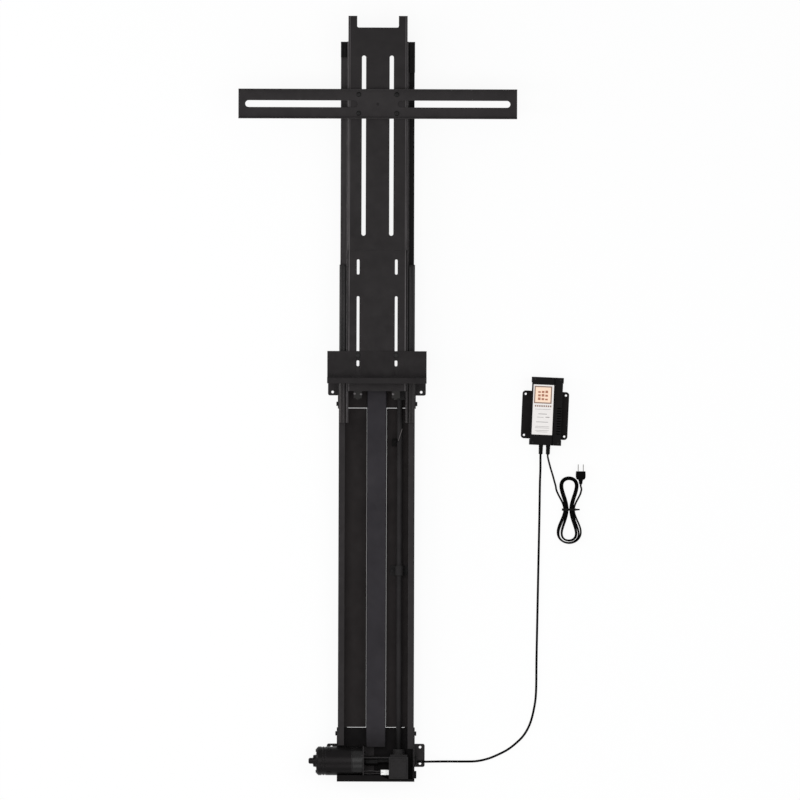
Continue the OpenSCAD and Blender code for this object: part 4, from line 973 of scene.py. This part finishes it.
label_bars("label_frame", LABEL_BROWN, border(2.5, 78, 44, 43.5, 2.9))
label_bars("label_field", LABEL_TINT, [(5.5, 81.0, 38.0, 37.5)])


def add_label_motif():
    """Plain blocks in rows in the label's framed field."""
    bm = bmesh.new()
    here = at_supply(LABEL_LOW[0], LABEL_LOW[1], LABEL_TOP)
    for column in range(MOTIF_SIDE):
        for row in range(MOTIF_SIDE):
            height = 6.2 - 1.1 * abs(column - row)
            x = MOTIF_LOW[0] + column * MOTIF_STEP
            y = MOTIF_LOW[1] + row * MOTIF_STEP
            add_box(bm, here, (x, y, -0.05), (x + MOTIF_WIDE, y + height, 0.08))
    add_mesh("label_motif", bm, LABEL_RUST, FRAME, smooth=False)


add_label_motif()
label_bars("label_band", LABEL_BROWN, [(5 + BAND_STEP * k, 69.5, 3.6, 4.2) for k in range(BAND_MARKS)])
label_bars("label_rules", LABEL_GREY, [
    (6, 63, 39, 0.9), (15, 51, 21, 1.6), (12, 43, 16, 1.0), (33, 43, 10, 2.0), (10, 31, 30, 1.4),
    (8, 20, 35, 0.9), (8, 16.5, 35, 0.9), (8, 10, 35, 0.9), (12, 6.5, 27, 0.9),
])


COVER_STEP = 7
COVER_SCREW_AT = ((-31.5, SUPPLY_SIZE[2]), (32.0, SUPPLY_SIZE[2] - COVER_STEP))
COVER_SCREW_Y = 79
COVER_SCREW = ((2.4, -0.2), (2.4, 0.5), (2.1, 0.8), (1.1, 0.8, 6), (1.1, 0.1, 6))


def add_supply_screws():
    """Screws with a hexagon recess in the two steps of the cover's top."""
    bm = bmesh.new()
    for x, top in COVER_SCREW_AT:
        for y in (-COVER_SCREW_Y, COVER_SCREW_Y):
            turned(bm, at_supply(x, y, top), COVER_SCREW)
    add_mesh("supply_screws", bm, LOOKS["blackened_steel"], FRAME)


add_supply_screws()


# Motor and drive trim

BELL_BOLT_R = 26
BRUSH_CAP_X = CAN_X[0] + 27
BRUSH_CAP_R = MOTOR_R - 1.2
BRUSH_CAP_ANGLES = (35, 145)
BRUSH_CAP = ((6.2, 0), (6.2, 2.0), (5.6, 2.6), (4.6, 2.8), (0.9, 2.8, 4), (0.9, 2.0, 4))
GEARHEAD_SCREW_R = 25
GEARHEAD_SCREW_ANGLES = (45, 315)
SIDE_BOLT = (BRACKET_OUT, 1.5, 16)
WIRE_D = 2.5
WIRE_APART = 3


def add_motor_trim():
    """Bolts of the end bell, brush caps, screws of the gearhead and the gearbox's side bolt."""
    bm = bmesh.new()
    y, z = MOTOR_AXIS
    for side in (-1, 1):
        head = frame_at((CAN_X[0] - 3.2, y + side * BELL_BOLT_R, z), (-1, 0, 0))
        hex_bolt_head(bm, head, flat=3.6, height=3.0)
    for angle in BRUSH_CAP_ANGLES:
        a = math.radians(angle)
        axis = (0, math.cos(a), math.sin(a))
        spot = (BRUSH_CAP_X, y + BRUSH_CAP_R * axis[1], z + BRUSH_CAP_R * axis[2])
        turned(bm, frame_at(spot, axis), BRUSH_CAP)
    add_mesh("motor_screws", bm, LOOKS["motor_enamel"], FRAME)
    bm = bmesh.new()
    for angle in GEARHEAD_SCREW_ANGLES:
        a = math.radians(angle)
        spot = (MOTOR_PLATE_X, y + GEARHEAD_SCREW_R * math.cos(a), z + GEARHEAD_SCREW_R * math.sin(a))
        socket_head(bm, frame_at(spot, (1, 0, 0)), radius=4.0, height=3.2, socket=1.5)
    add_mesh("gearhead_screws", bm, LOOKS["blackened_steel"], FRAME)
    bm = bmesh.new()
    place = frame_at(SIDE_BOLT, (1, 0, 0))
    hex_bolt_head(bm, place, flat=5.6, height=4.6)
    washer(bm, place, inner=3, outer=7.5, thick=1.2)
    add_mesh("gearbox_side_bolt", bm, LOOKS["blackened_steel"], FRAME)


def add_motor_wires():
    """Two insulated wires from the motor's plate to the white connector, with a little slack."""
    for side in (-1, 1):
        y = WIRE_Y + side * WIRE_APART
        line = curve_through([
            (MOTOR_PLATE_X, y, WIRE_Z), (MOTOR_PLATE_X + 5, y, WIRE_Z),
            (-12, y + 1.2 * side, WIRE_Z - 0.8), (1, y - 0.6 * side, WIRE_Z + 0.4),
            (CONNECTOR_X - 4, y, WIRE_Z), (CONNECTOR_X + 0.5, y, WIRE_Z),
        ], 2)
        name = "motor_wire_lower" if side < 0 else "motor_wire_upper"
        add_cord(name, line, WIRE_D, LOOKS["wire_insulation"])[0]
    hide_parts("motor_wires")


add_motor_trim()
add_motor_wires()


# Floor, world and lamps

FLOOR_HALF = 9
FLOOR_Z = -0.4
FLOOR_PAINT = (0.86, 0.86, 0.86, 1)
FLOOR_GLOW = 0.9
WHITE = (1, 1, 1, 1)
SKY = (0.97, 0.985, 1, 1)
SKY_STRENGTH = 0.55
# Name, place and size in metres, power in watts
LAMPS = (
    ("key", (-0.7, 0.7, 4.3), (2.6, 2.6), 56),
    ("fill", (2.2, 0.6, 3.0), (2.2, 2.2), 28),
    ("left", (-2.6, 1.2, 1.1), (0.6, 2.6), 34),
    ("low", (-0.2, -1.7, 2.1), (1.8, 1.2), 11),
)


def seen_rays(nodes, links):
    """1 on rays by which something is seen, also mirrored in metal or through glass."""
    rays = nodes.new("ShaderNodeLightPath")
    seen = rays.outputs["Is Camera Ray"]
    for kind in ("Is Glossy Ray", "Is Transmission Ray"):
        either = nodes.new("ShaderNodeMath")
        either.operation = "MAXIMUM"
        links.new(seen, either.inputs[0])
        links.new(rays.outputs[kind], either.inputs[1])
        seen = either.outputs["Value"]
    return seen


def add_floor():
    bm = bmesh.new()
    bmesh.ops.create_grid(bm, x_segments=1, y_segments=1, size=FLOOR_HALF)
    data = bpy.data.meshes.new("floor")
    bm.to_mesh(data)
    bm.free()
    floor = bpy.data.objects.new("floor", data)
    bpy.context.scene.collection.objects.link(floor)
    floor.location = mm(CAMERA_AIM[0], CAMERA_AIM[1], FLOOR_Z)
    g = Graph("floor_paint")
    g.nodes.remove(g.shader)
    seen = seen_rays(g.nodes, g.links)
    diffuse = g.node("ShaderNodeBsdfDiffuse")
    diffuse.inputs["Color"].default_value = FLOOR_PAINT
    glow = g.node("ShaderNodeEmission")
    glow.inputs["Color"].default_value = WHITE
    blend = g.node("ShaderNodeMixShader")
    g.links.new(g.math("MULTIPLY", seen, FLOOR_GLOW), blend.inputs[0])
    g.links.new(diffuse.outputs[0], blend.inputs[1])
    g.links.new(glow.outputs[0], blend.inputs[2])
    g.links.new(blend.outputs[0], g.nodes["Material Output"].inputs["Surface"])
    data.materials.append(g.material)


def add_world():
    world = bpy.data.worlds.new("studio")
    bpy.context.scene.world = world
    world.use_nodes = True
    nodes, links = world.node_tree.nodes, world.node_tree.links
    nodes.clear()
    dim = nodes.new("ShaderNodeBackground")
    dim.inputs["Color"].default_value = SKY
    dim.inputs["Strength"].default_value = SKY_STRENGTH
    white = nodes.new("ShaderNodeBackground")
    white.inputs["Color"].default_value = WHITE
    white.inputs["Strength"].default_value = 1
    blend = nodes.new("ShaderNodeMixShader")
    links.new(seen_rays(nodes, links), blend.inputs[0])
    links.new(dim.outputs[0], blend.inputs[1])
    links.new(white.outputs[0], blend.inputs[2])
    output = nodes.new("ShaderNodeOutputWorld")
    links.new(blend.outputs[0], output.inputs["Surface"])


def add_lamp(name, place, size, power):
    data = bpy.data.lights.new(name, "AREA")
    data.shape = "RECTANGLE"
    data.size, data.size_y = size
    data.energy = power
    lamp = bpy.data.objects.new(name, data)
    bpy.context.scene.collection.objects.link(lamp)
    lamp.location = Vector(place)
    aim = mm(*CAMERA_AIM)
    lamp.rotation_euler = (aim - lamp.location).to_track_quat("-Z", "Y").to_euler()


add_floor()
add_world()
for lamp in LAMPS:
    add_lamp(*lamp)
bpy.context.scene.view_settings.view_transform = "Standard"
